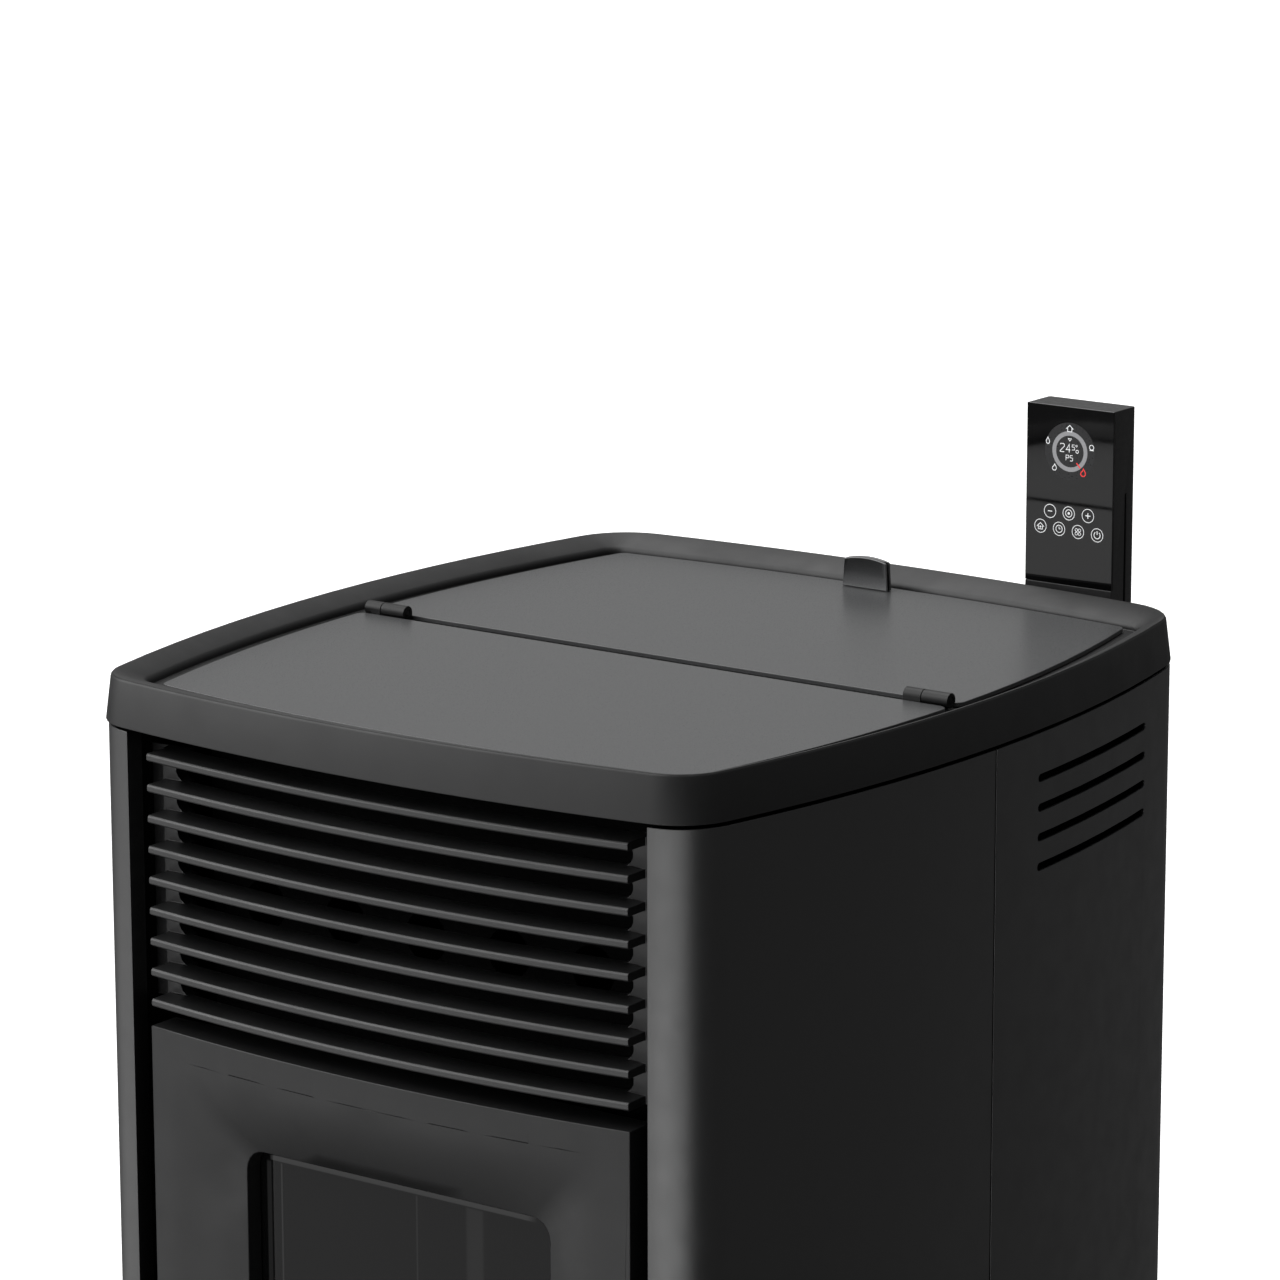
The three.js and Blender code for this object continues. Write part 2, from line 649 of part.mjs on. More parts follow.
// A side sheet of the frame, folded into a square post at the front
function frameSide(side) {
  const notchY = FRAME_BACK - FRAME_NOTCH;
  const sheet = join(
    box(side * FRAME_INNER, side * FRAME_OUTER, POST_FRONT, FRAME_BACK, CASING_LOW, PANELS_TOP),
    box(side * FRAME_INNER, side * FRAME_OUTER, POST_FRONT, notchY, CASING_LOW, FRAME_TOP),
  );
  const post = box(
    side * POST_INNER,
    side * FRAME_OUTER,
    POST_FRONT,
    POST_FRONT + POST_DEPTH,
    CASING_LOW,
    FRAME_TOP,
  );
  return join(sheet, post);
}

const casingWall = cut(
  prism(casingPlan(0), CASING_LOW, PANELS_TOP),
  prism(casingPlan(SHEET), CASING_LOW - OVER, PANELS_TOP + OVER),
);
const panelOuter = (y) =>
  sideCentre.x + Math.sqrt((SIDE_ARC - PANEL_INSET) ** 2 - y * y);
const backY = (x, d) => backCentre.y + Math.sqrt((BACK_ARC - d) ** 2 - x * x);

function sidePanel(side) {
  const rear = SEAM_Y - SEAM / 2;
  const edge = side * OPENING_HALF;
  const region = box(edge, side * BODY_WIDTH, -BODY_WIDTH, rear, 0, BODY_HEIGHT);
  const edgeY = faceY(OPENING_HALF, PANEL_FRONT_INSET) + SHEET / 2;
  const outer = side * (panelOuter(rear) - SHEET / 2);
  const inner = outer - side * SEAM_FLANGE;
  return join(
    casingWall.intersect(region),
    box(edge, edge + side * SHEET, edgeY, POST_FRONT - GAP, CASING_LOW, PANELS_TOP),
    box(outer, inner, rear - SHEET, rear, CASING_LOW, PANELS_TOP),
  );
}

function rearSidePanel(side) {
  const far = side * BODY_WIDTH;
  const front = SEAM_Y + SEAM / 2;
  const edge = side * OPENING_HALF;
  const region = box(edge, far, front, BODY_WIDTH, 0, BODY_HEIGHT);
  const outer = side * (panelOuter(front) - SHEET / 2);
  const inner = side * (FRAME_OUTER + GAP);
  const edgeY = backY(OPENING_HALF, PANEL_INSET) - SHEET / 2;
  const panel = join(
    casingWall.intersect(region),
    box(outer, inner, front, front + SHEET, CASING_LOW, PANELS_TOP),
    box(edge, edge + side * SHEET, COVER_BACK + GAP, edgeY, CASING_LOW, PANELS_TOP),
  );
  const slots = Array.from({ length: PANEL_SLOTS }, (_, i) => {
    const z = PANELS_TOP - PANEL_SLOT_DROP - i * PANEL_SLOT_PITCH;
    return longHole("x", PANEL_SLOT_START, PANEL_SLOT_END, z, PANEL_SLOT_HEIGHT, inner, far);
  });
  return cut(panel, ...slots);
}

function rearCover() {
  const sheet = box(
    -FRAME_OUTER,
    FRAME_OUTER,
    COVER_FRONT,
    COVER_BACK,
    CASING_LOW,
    PANELS_TOP - COVER_TOP_DROP,
  );
  const through = [COVER_FRONT - OVER, COVER_BACK + OVER];
  const louvres = Array.from({ length: LOUVRES }, (_, i) => {
    const z = BASE_TOP + LOUVRE_RISE + i * LOUVRE_PITCH;
    return longHole("y", -ROOM_HALF / 2, ROOM_HALF, z, LOUVRE_HEIGHT, ...through);
  });
  const inlet = box(
    INLET_X - INLET_WIDTH / 2 + SHEET,
    INLET_X + INLET_WIDTH / 2 - SHEET,
    ...through,
    INLET_Z - INLET_HEIGHT / 2 + SHEET,
    INLET_Z + INLET_HEIGHT / 2 - SHEET,
  );
  return cut(
    sheet,
    bar("y", FLUE_X, SMOKE_Z, ...through, FLUE_RADIUS + RUN, 32),
    bar("y", INTAKE_X, INTAKE_Z, ...through, INTAKE_RADIUS + RUN, 24),
    inlet,
    ...louvres,
  );
}

// The cast rim: a sloped outer face, a ridge, a sloped inner face with a rounded foot and a well for the lids
function topTray() {
  const even = (d, z) => {
    const shape = plan(d, d, d, FRONT_CORNER - d, BACK_CORNER - d);
    return shape.map((p) => new THREE.Vector3(p.x, p.y, z));
  };
  const well = (side, front, back, grow, z) => {
    const shape = plan(side + grow, front + grow, back + grow, RIM_CORNER - grow, RIM_CORNER - grow);
    return shape.map((p) => new THREE.Vector3(p.x, p.y, z));
  };
  const rim = (grow, z) => well(RIM_SIDE, RIM_FRONT, RIM_BACK, grow, z);
  const ledge = (z) => well(LID_SIDE, LID_FRONT, LID_BACK, LEDGE_UNDER, z);
  const rimTop = LID_TOP + RIM_RISE;
  return band([
    even(0, LIP_Z),
    even(TRAY_DRAFT, BODY_HEIGHT - RIDGE_ROUND),
    even(TRAY_DRAFT + RIDGE_ROUND / 3, BODY_HEIGHT - RIDGE_ROUND / 3),
    even(TRAY_DRAFT + RIDGE_ROUND, BODY_HEIGHT),
    rim(-RIM_ROUND, rimTop + RIM_ROUND / 3),
    rim(-RIM_ROUND / 3, rimTop - RIM_ROUND / 3),
    rim(0, rimTop - RIM_ROUND),
    rim(0, LEDGE_TOP),
    ledge(LEDGE_TOP),
    ledge(LEDGE_LOW),
    even(TRAY_WALL + TRAY_DRAFT, LEDGE_LOW),
    even(TRAY_WALL, LIP_Z),
  ]);
}

// Lids --------------------------------------------------------------------

const BARREL_Z = LID_TOP + BARREL_RISE;
const lidOutline = plan(LID_SIDE, LID_FRONT, LID_BACK, LID_CORNER, LID_CORNER);
const lidPlate = prism(lidOutline, LID_LOW, LID_TOP);
const barrelStart = (side) => side * BARREL_CENTRE - BARREL_LENGTH / 2;

// The lids' plate in front of the split or behind it, with its corners at the split rounded
function lidHalf(behind) {
  const edge = SPLIT_Y + (behind * SPLIT_GAP) / 2;
  const end = behind > 0 ? BODY_BACK : BODY_FRONT;
  const region = box(-BODY_WIDTH, BODY_WIDTH, edge, end, 0, BODY_HEIGHT);
  const half = sideCentre.x + Math.sqrt((SIDE_ARC - LID_SIDE) ** 2 - edge * edge);
  const rounders = [-1, 1].map((side) => {
    const x = side * (half - LID_CORNER);
    const y = edge + behind * LID_CORNER;
    const far = x + side * (LID_CORNER + OVER);
    const square = box(x, far, y, edge - behind * OVER, LID_LOW - OVER, LID_TOP + OVER);
    return cut(square, bar("z", x, y, LID_LOW - 2, LID_TOP + 2, LID_CORNER, 32));
  });
  return cut(lidPlate.intersect(region), ...rounders);
}

const splitX = (side) => barrelStart(side) + SHORT_KNUCKLE;
const leafX = (x) => Math.max(-LEAF_REACH, Math.min(LEAF_REACH, x));

// The fixed half of a lift-off hinge: leaf, short knuckle and pin
function hingeLeaf(side) {
  const start = barrelStart(side);
  const end = splitX(side) - GAP / 2;
  const leafTop = LID_LOW - GAP;
  const webY = SPLIT_Y - BARREL_RADIUS;
  return join(
    bar("x", SPLIT_Y, BARREL_Z, start, end, BARREL_RADIUS, 24),
    bar("x", SPLIT_Y, BARREL_Z, start, start + BARREL_LENGTH, LID_PIN_RADIUS, 16),
    box(leafX(start), end, webY, SPLIT_Y, leafTop - LEAF_THICKNESS, BARREL_Z),
    box(
      leafX(start),
      leafX(start + BARREL_LENGTH),
      webY - LEAF_LENGTH,
      webY + SHEET,
      leafTop - LEAF_THICKNESS,
      leafTop,
    ),
  );
}

// The moving half: leaf under the hopper lid and the long knuckle on the pin
function lidKnuckle(side) {
  const start = splitX(side) + GAP / 2;
  const end = barrelStart(side) + BARREL_LENGTH;
  const leafTop = LID_LOW - GAP;
  const webY = SPLIT_Y + BARREL_RADIUS;
  const shape = join(
    bar("x", SPLIT_Y, BARREL_Z, start, end, BARREL_RADIUS, 24),
    box(start, leafX(end), SPLIT_Y, webY, leafTop - LEAF_THICKNESS, BARREL_Z),
    box(start, leafX(end), webY - SHEET, webY + LEAF_LENGTH, leafTop - LEAF_THICKNESS, leafTop),
  );
  return cut(shape, bar("x", SPLIT_Y, BARREL_Z, start - OVER, end + OVER, LID_PIN_RADIUS + GAP, 16));
}

const lidRear = backCentre.y + BACK_ARC - LID_BACK;

function lidTab() {
  const low = LID_TOP + GAP;
  const top = low + TAB_HEIGHT;
  const half = TAB_TOP_WIDTH / 2;
  const crown = Array.from({ length: 9 }, (_, i) => {
    const x = half - (2 * half * i) / 8;
    return new THREE.Vector2(x, top + TAB_ARCH * (1 - (x / half) ** 2));
  });
  const outline = [new THREE.Vector2(-TAB_WIDTH / 2, low), new THREE.Vector2(TAB_WIDTH / 2, low), ...crown];
  const geometry = new THREE.ExtrudeGeometry(new THREE.Shape(outline), {
    depth: TAB_THICKNESS - 1,
    bevelEnabled: true,
    bevelSize: 0.5,
    bevelThickness: 0.5,
    bevelOffset: -0.5,
    bevelSegments: 2,
  });
  return solid(geometry.rotateX(Math.PI / 2).translate(0, lidRear - TAB_SETBACK, 0));
}

function lidGasket() {
  const rim = HOPPER_RIM;
  const x = HOPPER_HALF + rim;
  const low = FRAME_TOP + GAP;
  return cut(
    box(-x, x, HOPPER_FRONT - rim, HOPPER_BACK + rim, low, LID_LOW - GAP),
    box(
      GASKET_WIDTH - x,
      x - GASKET_WIDTH,
      HOPPER_FRONT - rim + GASKET_WIDTH,
      HOPPER_BACK + rim - GASKET_WIDTH,
      low - OVER,
      LID_LOW,
    ),
  );
}

// Front ---------------------------------------------------------------------

// Nine curved slats in one casting with a slotted web at each end
function airGrille() {
  const half = FACE_HALF - SLAT_SHORT;
  const tops = Array.from({ length: SLATS }, (_, i) => FIRST_SLAT_TOP - i * SLAT_PITCH);
  const low = LAST_SLAT_TOP - SLAT_HEIGHT;
  const high = FIRST_SLAT_TOP;
  const slats = tops.map((top) => {
    const steps = 12;
    const edge = (d) =>
      Array.from({ length: steps + 1 }, (_, i) => {
        const x = (half + SLAT_CHAMFER) * ((2 * i) / steps - 1);
        return new THREE.Vector2(x, faceY(x, d));
      });
    const outline = [...edge(FACE_INSET), ...edge(FACE_INSET + SLAT_DEPTH).reverse()];
    const geometry = new THREE.ExtrudeGeometry(new THREE.Shape(outline), {
      depth: SLAT_HEIGHT - 2 * SLAT_CHAMFER,
      bevelEnabled: true,
      bevelSize: SLAT_CHAMFER,
      bevelThickness: SLAT_CHAMFER,
      bevelOffset: -SLAT_CHAMFER,
      bevelSegments: 1,
    });
    return solid(geometry.translate(0, 0, top - SLAT_HEIGHT + SLAT_CHAMFER));
  });
  const ends = box(-half, half, BODY_FRONT, 0, low - OVER, high + OVER);
  const webFront = faceY(FACE_HALF, FACE_INSET) + GRILLE_WEB_INSET;
  const webBack = webFront + GRILLE_WEB_DEPTH;
  const flangeFront = webBack - SHEET;
  const gapHeight = SLAT_PITCH - SLAT_HEIGHT;
  const r = gapHeight / 2;
  const webs = [-1, 1].map((side) => {
    const outer = side * (FACE_HALF + GRILLE_WEB_OVER);
    const slotX = side * (FACE_HALF - GRILLE_SLOT_IN - r);
    const rounds = tops.slice(0, -1).map((top) => {
      const z = top - SLAT_HEIGHT - r;
      return bar("y", slotX, z, webFront - OVER, webBack + OVER, r, 14);
    });
    return cut(
      join(
        box(slotX, outer, webFront, webBack, low, high),
        box(outer - side * OVER, side * (POST_INNER - GAP), flangeFront, webBack, low, high),
      ),
      ...rounds,
    );
  });
  return join(join(...slats).intersect(ends), ...webs);
}

function curvedSheet(low, high) {
  return frontSlab(FACE_HALF, FACE_INSET, (x) => faceY(x, FACE_INSET + SHEET), low, high);
}

// The plinth is held at the posts by an ear at each end
function plinthPanel() {
  const low = BASE_TOP + PLINTH_LIFT;
  const front = faceY(FACE_HALF, FACE_INSET) + SHEET / 2;
  const rear = POST_FRONT + EAR_SETBACK;
  const ears = [-1, 1].map((side) => {
    const inner = side * (FACE_HALF - SHEET);
    return join(
      box(side * FACE_HALF, inner, front, rear + SHEET, low, PLINTH_TOP),
      box(inner, side * (POST_INNER - GAP), rear, rear + SHEET, low, PLINTH_TOP),
    );
  });
  return join(curvedSheet(low, PLINTH_TOP), ...ears);
}

// Door ----------------------------------------------------------------------

const doorMiddle = (WINDOW_TOP + WINDOW_LOW) / 2;
const windowHalfHeight = (WINDOW_TOP - WINDOW_LOW) / 2;
const windowY = BODY_FRONT + WINDOW_SINK;
const hingeX = -(FACE_HALF + HINGE_IN);
const hingeY = faceY(FACE_HALF, FACE_INSET) - HINGE_PROUD;
const handleX = FACE_HALF - HANDLE_IN;
const handleZ = DOOR_LOW + HANDLE_HEIGHT;
const faceAtHandle = faceY(handleX, FACE_INSET);
const gripY = faceAtHandle - HANDLE_STAND;

// One round-cornered ring of the window's dish, with its depth given at each x
function dishRing(half, halfHeight, corner, depthAt) {
  const points = [];
  const straight = (ax, az, bx, bz, steps) => {
    for (let i = 0; i < steps; i++) {
      points.push([ax + ((bx - ax) * i) / steps, az + ((bz - az) * i) / steps]);
    }
  };
  const bend = (cx, cz, start) => {
    for (let i = 0; i < 5; i++) {
      const a = start + (Math.PI / 2) * (i / 5);
      points.push([cx + corner * Math.cos(a), cz + corner * Math.sin(a)]);
    }
  };
  const x = half - corner;
  const z = halfHeight - corner;
  straight(-x, -halfHeight, x, -halfHeight, 8);
  bend(x, -z, -Math.PI / 2);
  straight(half, -z, half, z, 4);
  bend(x, z, 0);
  straight(x, halfHeight, -x, halfHeight, 8);
  bend(-x, z, Math.PI / 2);
  straight(-half, z, -half, -z, 4);
  bend(-x, -z, Math.PI);
  return points.map(([px, pz]) => new THREE.Vector3(px, depthAt(px), doorMiddle + pz));
}

// The dish that runs in from the door's flat margin to the window
function windowCutter() {
  const grow = FACE_HALF - BEVEL_MARGIN - WINDOW_HALF;
  const rings = [dishRing(
    WINDOW_HALF + grow,
    windowHalfHeight + grow,
    BEVEL_CORNER,
    () => BODY_FRONT - SHEET,
  )];
  for (let i = 0; i <= BEVEL_STEPS; i++) {
    const s = i / BEVEL_STEPS;
    const depth = s ** BEVEL_POWER;
    const corner = BEVEL_CORNER + (WINDOW_CORNER - BEVEL_CORNER) * s;
    const at = (x) => faceY(x, FACE_INSET) * (1 - depth) + windowY * depth;
    const wide = grow * (1 - s);
    rings.push(dishRing(WINDOW_HALF + wide, windowHalfHeight + wide, corner, at));
  }
  rings.push(dishRing(WINDOW_HALF, windowHalfHeight, WINDOW_CORNER, () => DOOR_BACK + OVER));
  return loft(rings);
}

const hingeLevels = [DOOR_LOW + LOWER_HINGE_RISE, DOOR_LOW + UPPER_HINGE_RISE];

// Cast door, with its two knuckles on the left edge
function doorFrame() {
  const slab = frontSlab(FACE_HALF, FACE_INSET, () => DOOR_BACK, DOOR_LOW, DOOR_TOP, 16);
  const knuckles = hingeLevels.map((z) => {
    const low = z + HINGE_HEIGHT / 2 + GAP;
    const high = z + HINGE_HEIGHT;
    const ring = join(
      bar("z", hingeX, hingeY, low, high, HINGE_RADIUS, 16),
      box(hingeX, 1 - FACE_HALF, hingeY, hingeY + HINGE_RADIUS, low, high),
    );
    return cut(ring, bar("z", hingeX, hingeY, low - OVER, high + OVER, HINGE_PIN + GAP, 16));
  });
  const spindle = bar("y", handleX, handleZ, BODY_FRONT, DOOR_BACK + OVER, SPINDLE_RADIUS + GAP, 20);
  return cut(join(slab, ...knuckles), windowCutter(), spindle);
}

// The fixed half of a door hinge: pin, lower knuckle and an arm back to the post
function doorHinge(z) {
  const left = -(POST_INNER - GAP);
  const arm = hingeX - HINGE_RADIUS;
  const high = z + HINGE_HEIGHT / 2;
  const back = POST_FRONT + POST_DEPTH / 2;
  return join(
    bar("z", hingeX, hingeY, z, high, HINGE_RADIUS, 16),
    bar("z", hingeX, hingeY, z, z + HINGE_HEIGHT, HINGE_PIN, 12),
    box(arm, arm + SHEET, hingeY, POST_FRONT + SHEET, z, high),
    box(left, arm + SHEET, POST_FRONT + GAP, back, z, high),
  );
}

const ropeLow = WINDOW_LOW - (ROPE_HALF - WINDOW_HALF);
const ropeHigh = WINDOW_TOP + (ROPE_HALF - WINDOW_HALF);
const glassHalf = WINDOW_HALF + GLASS_LAP;
const glassLow = WINDOW_LOW - GLASS_LAP;
const glassHigh = WINDOW_TOP + GLASS_LAP;
const retainerHalf = glassHalf + RETAINER_LAP;
const retainerLow = glassLow - RETAINER_LAP;
const retainerHigh = glassHigh + RETAINER_LAP;
const retainerWidth = 2 * RETAINER_LAP + GLASS_LAP / 2;

function glassRetainer() {
  const ring = frameRing(
    retainerHalf,
    retainerLow,
    retainerHigh,
    retainerWidth,
    GLASS_BACK + GAP,
    RETAINER_BACK,
  );
  const edge = frameRing(
    retainerHalf,
    retainerLow,
    retainerHigh,
    SHEET,
    GLASS_FRONT,
    GLASS_BACK + GAP + SHEET / 2,
  );
  return join(ring, edge);
}

// Lever grip on its spindle, hanging down in front of the door's right margin
function doorHandle() {
  const grip = new THREE.CapsuleGeometry(GRIP_RADIUS, GRIP_LENGTH - 2 * GRIP_RADIUS, 4, 16);
  grip.rotateX(Math.PI / 2);
  grip.translate(handleX, gripY, handleZ - GRIP_LENGTH / 2 + 2 * GRIP_RADIUS);
  const collarBack = faceAtHandle - RUN;
  const collarRadius = SPINDLE_RADIUS + HANDLE_COLLAR_WIDTH;
  return join(
    solid(grip),
    bar("y", handleX, handleZ, gripY, GLASS_FRONT + CAM_THICKNESS - OVER, SPINDLE_RADIUS, 20),
    bar("y", handleX, handleZ, collarBack - HANDLE_COLLAR_DEPTH, collarBack, collarRadius, 20),
  );
}

const keeperEdge = POST_INNER - GAP - KEEPER_REACH;

function latchCam() {
  const back = GLASS_FRONT + CAM_THICKNESS;
  const half = CAM_HEIGHT / 2;
  const tip = keeperEdge - CAM_CLEAR;
  return cut(
    join(
      bar("y", handleX, handleZ, GLASS_FRONT, back, half + OVER, 20),
      box(handleX, tip, GLASS_FRONT, back, handleZ - half, handleZ + half),
    ),
    bar("y", handleX, handleZ, GLASS_FRONT - OVER, back + OVER, SPINDLE_RADIUS + GAP, 20),
  );
}

function latchKeeper() {
  const half = KEEPER_HEIGHT / 2;
  const front = POST_FRONT + SHEET;
  const back = POST_FRONT + POST_DEPTH - SHEET;
  return box(keeperEdge, POST_INNER - GAP, front, back, handleZ - half, handleZ + half);
}

// Ash drawer ------------------------------------------------------------------

const drawerHalf = CHAMBER_HALF - SHEET - DRAWER_CLEAR;

function ashChamber() {
  const front = POST_FRONT + POST_DEPTH;
  const walls = [-1, 1].map((side) =>
    box(side * (CHAMBER_HALF - SHEET), side * CHAMBER_HALF, front, CHAMBER_BACK, CASING_LOW, CHAMBER_TOP),
  );
  return join(
    ...walls,
    box(-CHAMBER_HALF, CHAMBER_HALF, front, CHAMBER_BACK, CHAMBER_FLOOR - SHEET, CHAMBER_FLOOR),
    box(-CHAMBER_HALF, CHAMBER_HALF, CHAMBER_BACK - SHEET, CHAMBER_BACK, CHAMBER_FLOOR, CHAMBER_TOP),
  );
}

function ashDrawer() {
  const low = CHAMBER_FLOOR + GAP;
  const back = CHAMBER_BACK - SHEET - DRAWER_BACK_CLEAR;
  return cut(
    box(-drawerHalf, drawerHalf, POST_FRONT, back, low, low + DRAWER_HEIGHT),
    box(
      SHEET - drawerHalf,
      drawerHalf - SHEET,
      POST_FRONT + SHEET,
      back - SHEET,
      low + SHEET,
      low + DRAWER_HEIGHT + OVER,
    ),
  );
}

function drawerFront() {
  const slab = frontSlab(FACE_HALF, FACE_INSET, () => POST_FRONT - GAP, DRAWER_FRONT_LOW, DRAWER_FRONT_TOP);
  const half = PULL_WIDTH / 2;
  const top = DRAWER_FRONT_TOP;
  const pull = box(
    -half,
    half,
    BODY_FRONT - OVER,
    faceY(0, FACE_INSET) + PULL_DEPTH,
    top - PULL_HEIGHT,
    top + OVER,
  );
  return cut(slab, pull);
}

// Fire --------------------------------------------------------------------

const chuteHigh = CHUTE_LOW + CHUTE_HEIGHT;

function firebox() {
  const wall = FIREBOX_WALL;
  const openHalf = ROPE_HALF - ROPE_WIDTH - ROPE_CLEAR;
  const openLow = ropeLow + ROPE_WIDTH + ROPE_CLEAR;
  const openHigh = ropeHigh - ROPE_WIDTH - ROPE_CLEAR;
  const inside = box(
    wall - FIREBOX_HALF,
    FIREBOX_HALF - wall,
    FIREBOX_FRONT + wall,
    FIREBOX_BACK - wall,
    FIREBOX_BOTTOM + wall,
    FIREBOX_TOP - wall,
  );
  const potHole = POT_SIZE / 2 + RUN;
  const rearWall = [FIREBOX_BACK - wall - OVER, FIREBOX_BACK + OVER];
  return cut(
    box(-FIREBOX_HALF, FIREBOX_HALF, FIREBOX_FRONT, FIREBOX_BACK, FIREBOX_BOTTOM, FIREBOX_TOP),
    inside,
    box(-openHalf, openHalf, FIREBOX_FRONT - OVER, FIREBOX_FRONT + wall + OVER, openLow, openHigh),
    box(
      -potHole,
      potHole,
      POT_Y - potHole,
      POT_Y + potHole,
      FIREBOX_BOTTOM - OVER,
      FIREBOX_BOTTOM + wall + OVER,
    ),
    box(-CHUTE_HALF, CHUTE_HALF, ...rearWall, CHUTE_LOW, chuteHigh),
    bar("y", SMOKE_X, SMOKE_Z, ...rearWall, SMOKE_INLET, 24),
    bar("y", INTAKE_X, INTAKE_Z, ...rearWall, INTAKE_RADIUS - INTAKE_WALL, 24),
    bar("y", 0, FIREBOX_BOTTOM + IGNITER_LIFT, ...rearWall, IGNITER_RADIUS + GAP, 16),
  );
}

// Light refractory lining on the firebox's back and sides, grooved at the back
function fireboxLining() {
  const outer = FIREBOX_HALF - FIREBOX_WALL - GAP;
  const inner = outer - LINING_THICKNESS;
  const back = FIREBOX_BACK - FIREBOX_WALL - GAP;
  const front = FIREBOX_FRONT + FIREBOX_WALL + RUN;
  const low = FIREBOX_BOTTOM + FIREBOX_WALL + GAP;
  const high = FIREBOX_TOP - FIREBOX_WALL - LINING_DROP;
  const through = [back - LINING_THICKNESS - OVER, back + OVER];
  const grooves = Array.from({ length: LINING_GROOVES }, (_, i) => {
    const x = -inner + (2 * inner * (i + 1)) / (LINING_GROOVES + 1);
    const face = back - LINING_THICKNESS;
    return box(
      x - LINING_GROOVE / 2,
      x + LINING_GROOVE / 2,
      face - OVER,
      face + LINING_GROOVE,
      low - OVER,
      high + OVER,
    );
  });
  return cut(
    box(-outer, outer, front, back, low, high),
    box(-inner, inner, front - OVER, back - LINING_THICKNESS, low - OVER, high + OVER),
    box(-CHUTE_HALF, CHUTE_HALF, ...through, CHUTE_LOW, chuteHigh),
    bar("y", SMOKE_X, SMOKE_Z, ...through, SMOKE_INLET, 24),
    bar("y", INTAKE_X, INTAKE_Z, ...through, INTAKE_RADIUS - INTAKE_WALL, 24),
    bar("y", 0, FIREBOX_BOTTOM + IGNITER_LIFT, ...through, IGNITER_RADIUS + GAP, 16),
    ...grooves,
  );
}

function burnPot() {
  const half = POT_SIZE / 2;
  const rimLow = FIREBOX_BOTTOM + FIREBOX_WALL + GAP;
  const low = rimLow - POT_SINK;
  const high = low + POT_DEPTH;
  const rim = half + POT_RIM;
  const holes = [];
  for (let i = 0; i < POT_HOLES; i++) {
    for (let j = 0; j < POT_HOLES; j++) {
      const step = POT_SIZE / (POT_HOLES + 1);
      const x = -half + step * (i + 1);
      const y = POT_Y - half + step * (j + 1);
      holes.push(bar("z", x, y, low - OVER, low + POT_WALL + OVER, POT_HOLE_RADIUS, 8));
    }
  }
  return cut(
    join(
      box(-half, half, POT_Y - half, POT_Y + half, low, high),
      box(-rim, rim, POT_Y - rim, POT_Y + rim, rimLow, rimLow + POT_WALL),
    ),
    box(
      POT_WALL - half,
      half - POT_WALL,
      POT_Y - half + POT_WALL,
      POT_Y + half - POT_WALL,
      low + POT_WALL,
      high + OVER,
    ),
    ...holes,
  );
}

function igniter() {
  const z = FIREBOX_BOTTOM + IGNITER_LIFT;
  const tip = POT_Y + POT_SIZE / 2 + POT_RIM + RUN;
  return join(
    bar("y", 0, z, tip, FIREBOX_BACK + IGNITER_TAIL, IGNITER_RADIUS, 16),
    bar("y", 0, z, FIREBOX_BACK + GAP, FIREBOX_BACK + COLLAR_WIDTH, 2 * IGNITER_RADIUS, 16),
  );
}

// Row of air tubes between two end plates, on top of the firebox
function heatExchanger() {
  const low = FIREBOX_TOP + GAP;
  const high = low + EXCHANGER_HEIGHT;
  const z = (low + high) / 2;
  const xs = Array.from({ length: TUBES }, (_, i) => (i - (TUBES - 1) / 2) * TUBE_PITCH);
  const half = EXCHANGER_HALF;
  const plates = [
    box(-half, half, EXCHANGER_FRONT, EXCHANGER_FRONT + SHEET, low, high),
    box(-half, half, EXCHANGER_BACK - SHEET, EXCHANGER_BACK, low, high),
  ];
  const tubes = xs.map((x) => bar("y", x, z, EXCHANGER_FRONT, EXCHANGER_BACK, TUBE_RADIUS, 20));
  const bores = xs.map((x) => bar(
    "y",
    x,
    z,
    EXCHANGER_FRONT - OVER,
    EXCHANGER_BACK + OVER,
    TUBE_RADIUS - TUBE_WALL,
    20,
  ));
  return cut(join(...plates, ...tubes), ...bores);
}

// Pellets -----------------------------------------------------------------

const rectangle = (half, front, back, z) => [
  new THREE.Vector3(-half, front, z),
  new THREE.Vector3(half, front, z),
  new THREE.Vector3(half, back, z),
  new THREE.Vector3(-half, back, z),
];

function hopper() {
  const w = HOPPER_WALL;
  const high = FRAME_TOP;
  const shell = (d, foot, rim) =>
    loft([
      rectangle(NECK_HALF - d, NECK_FRONT + d, NECK_BACK - d, foot),
      rectangle(HOPPER_HALF - d, HOPPER_FRONT + d, HOPPER_BACK - d, HOPPER_KNEE),
      rectangle(HOPPER_HALF - d, HOPPER_FRONT + d, HOPPER_BACK - d, rim),
    ]);
  const side = FRAME_INNER - GAP;
  const rim = box(-side, side, HOPPER_FRONT - HOPPER_RIM, HOPPER_BACK + HOPPER_RIM, high - w, high);
  const mouth = box(
    w - HOPPER_HALF,
    HOPPER_HALF - w,
    HOPPER_FRONT + w,
    HOPPER_BACK - w,
    high - w - OVER,
    high + OVER,
  );
  const neck = box(
    w - NECK_HALF,
    NECK_HALF - w,
    NECK_FRONT + w,
    NECK_BACK - w,
    HOPPER_FOOT - OVER,
    HOPPER_FOOT + w,
  );
  return cut(join(shell(0, HOPPER_FOOT, high), rim), shell(w, HOPPER_FOOT + w / 2, high + OVER), mouth, neck);
}

// Turns a shape drawn along +Z from the origin to lie along the auger
const augerTurn = new THREE.Matrix4()
  .makeTranslation(0, AUGER_LOW_Y, AUGER_LOW_Z)
  .multiply(new THREE.Matrix4().makeRotationX((90 - AUGER_ANGLE) * RAD));

function alongAuger(geometry) {
  return solid((geometry.index ? geometry.toNonIndexed() : geometry).applyMatrix4(augerTurn));
}

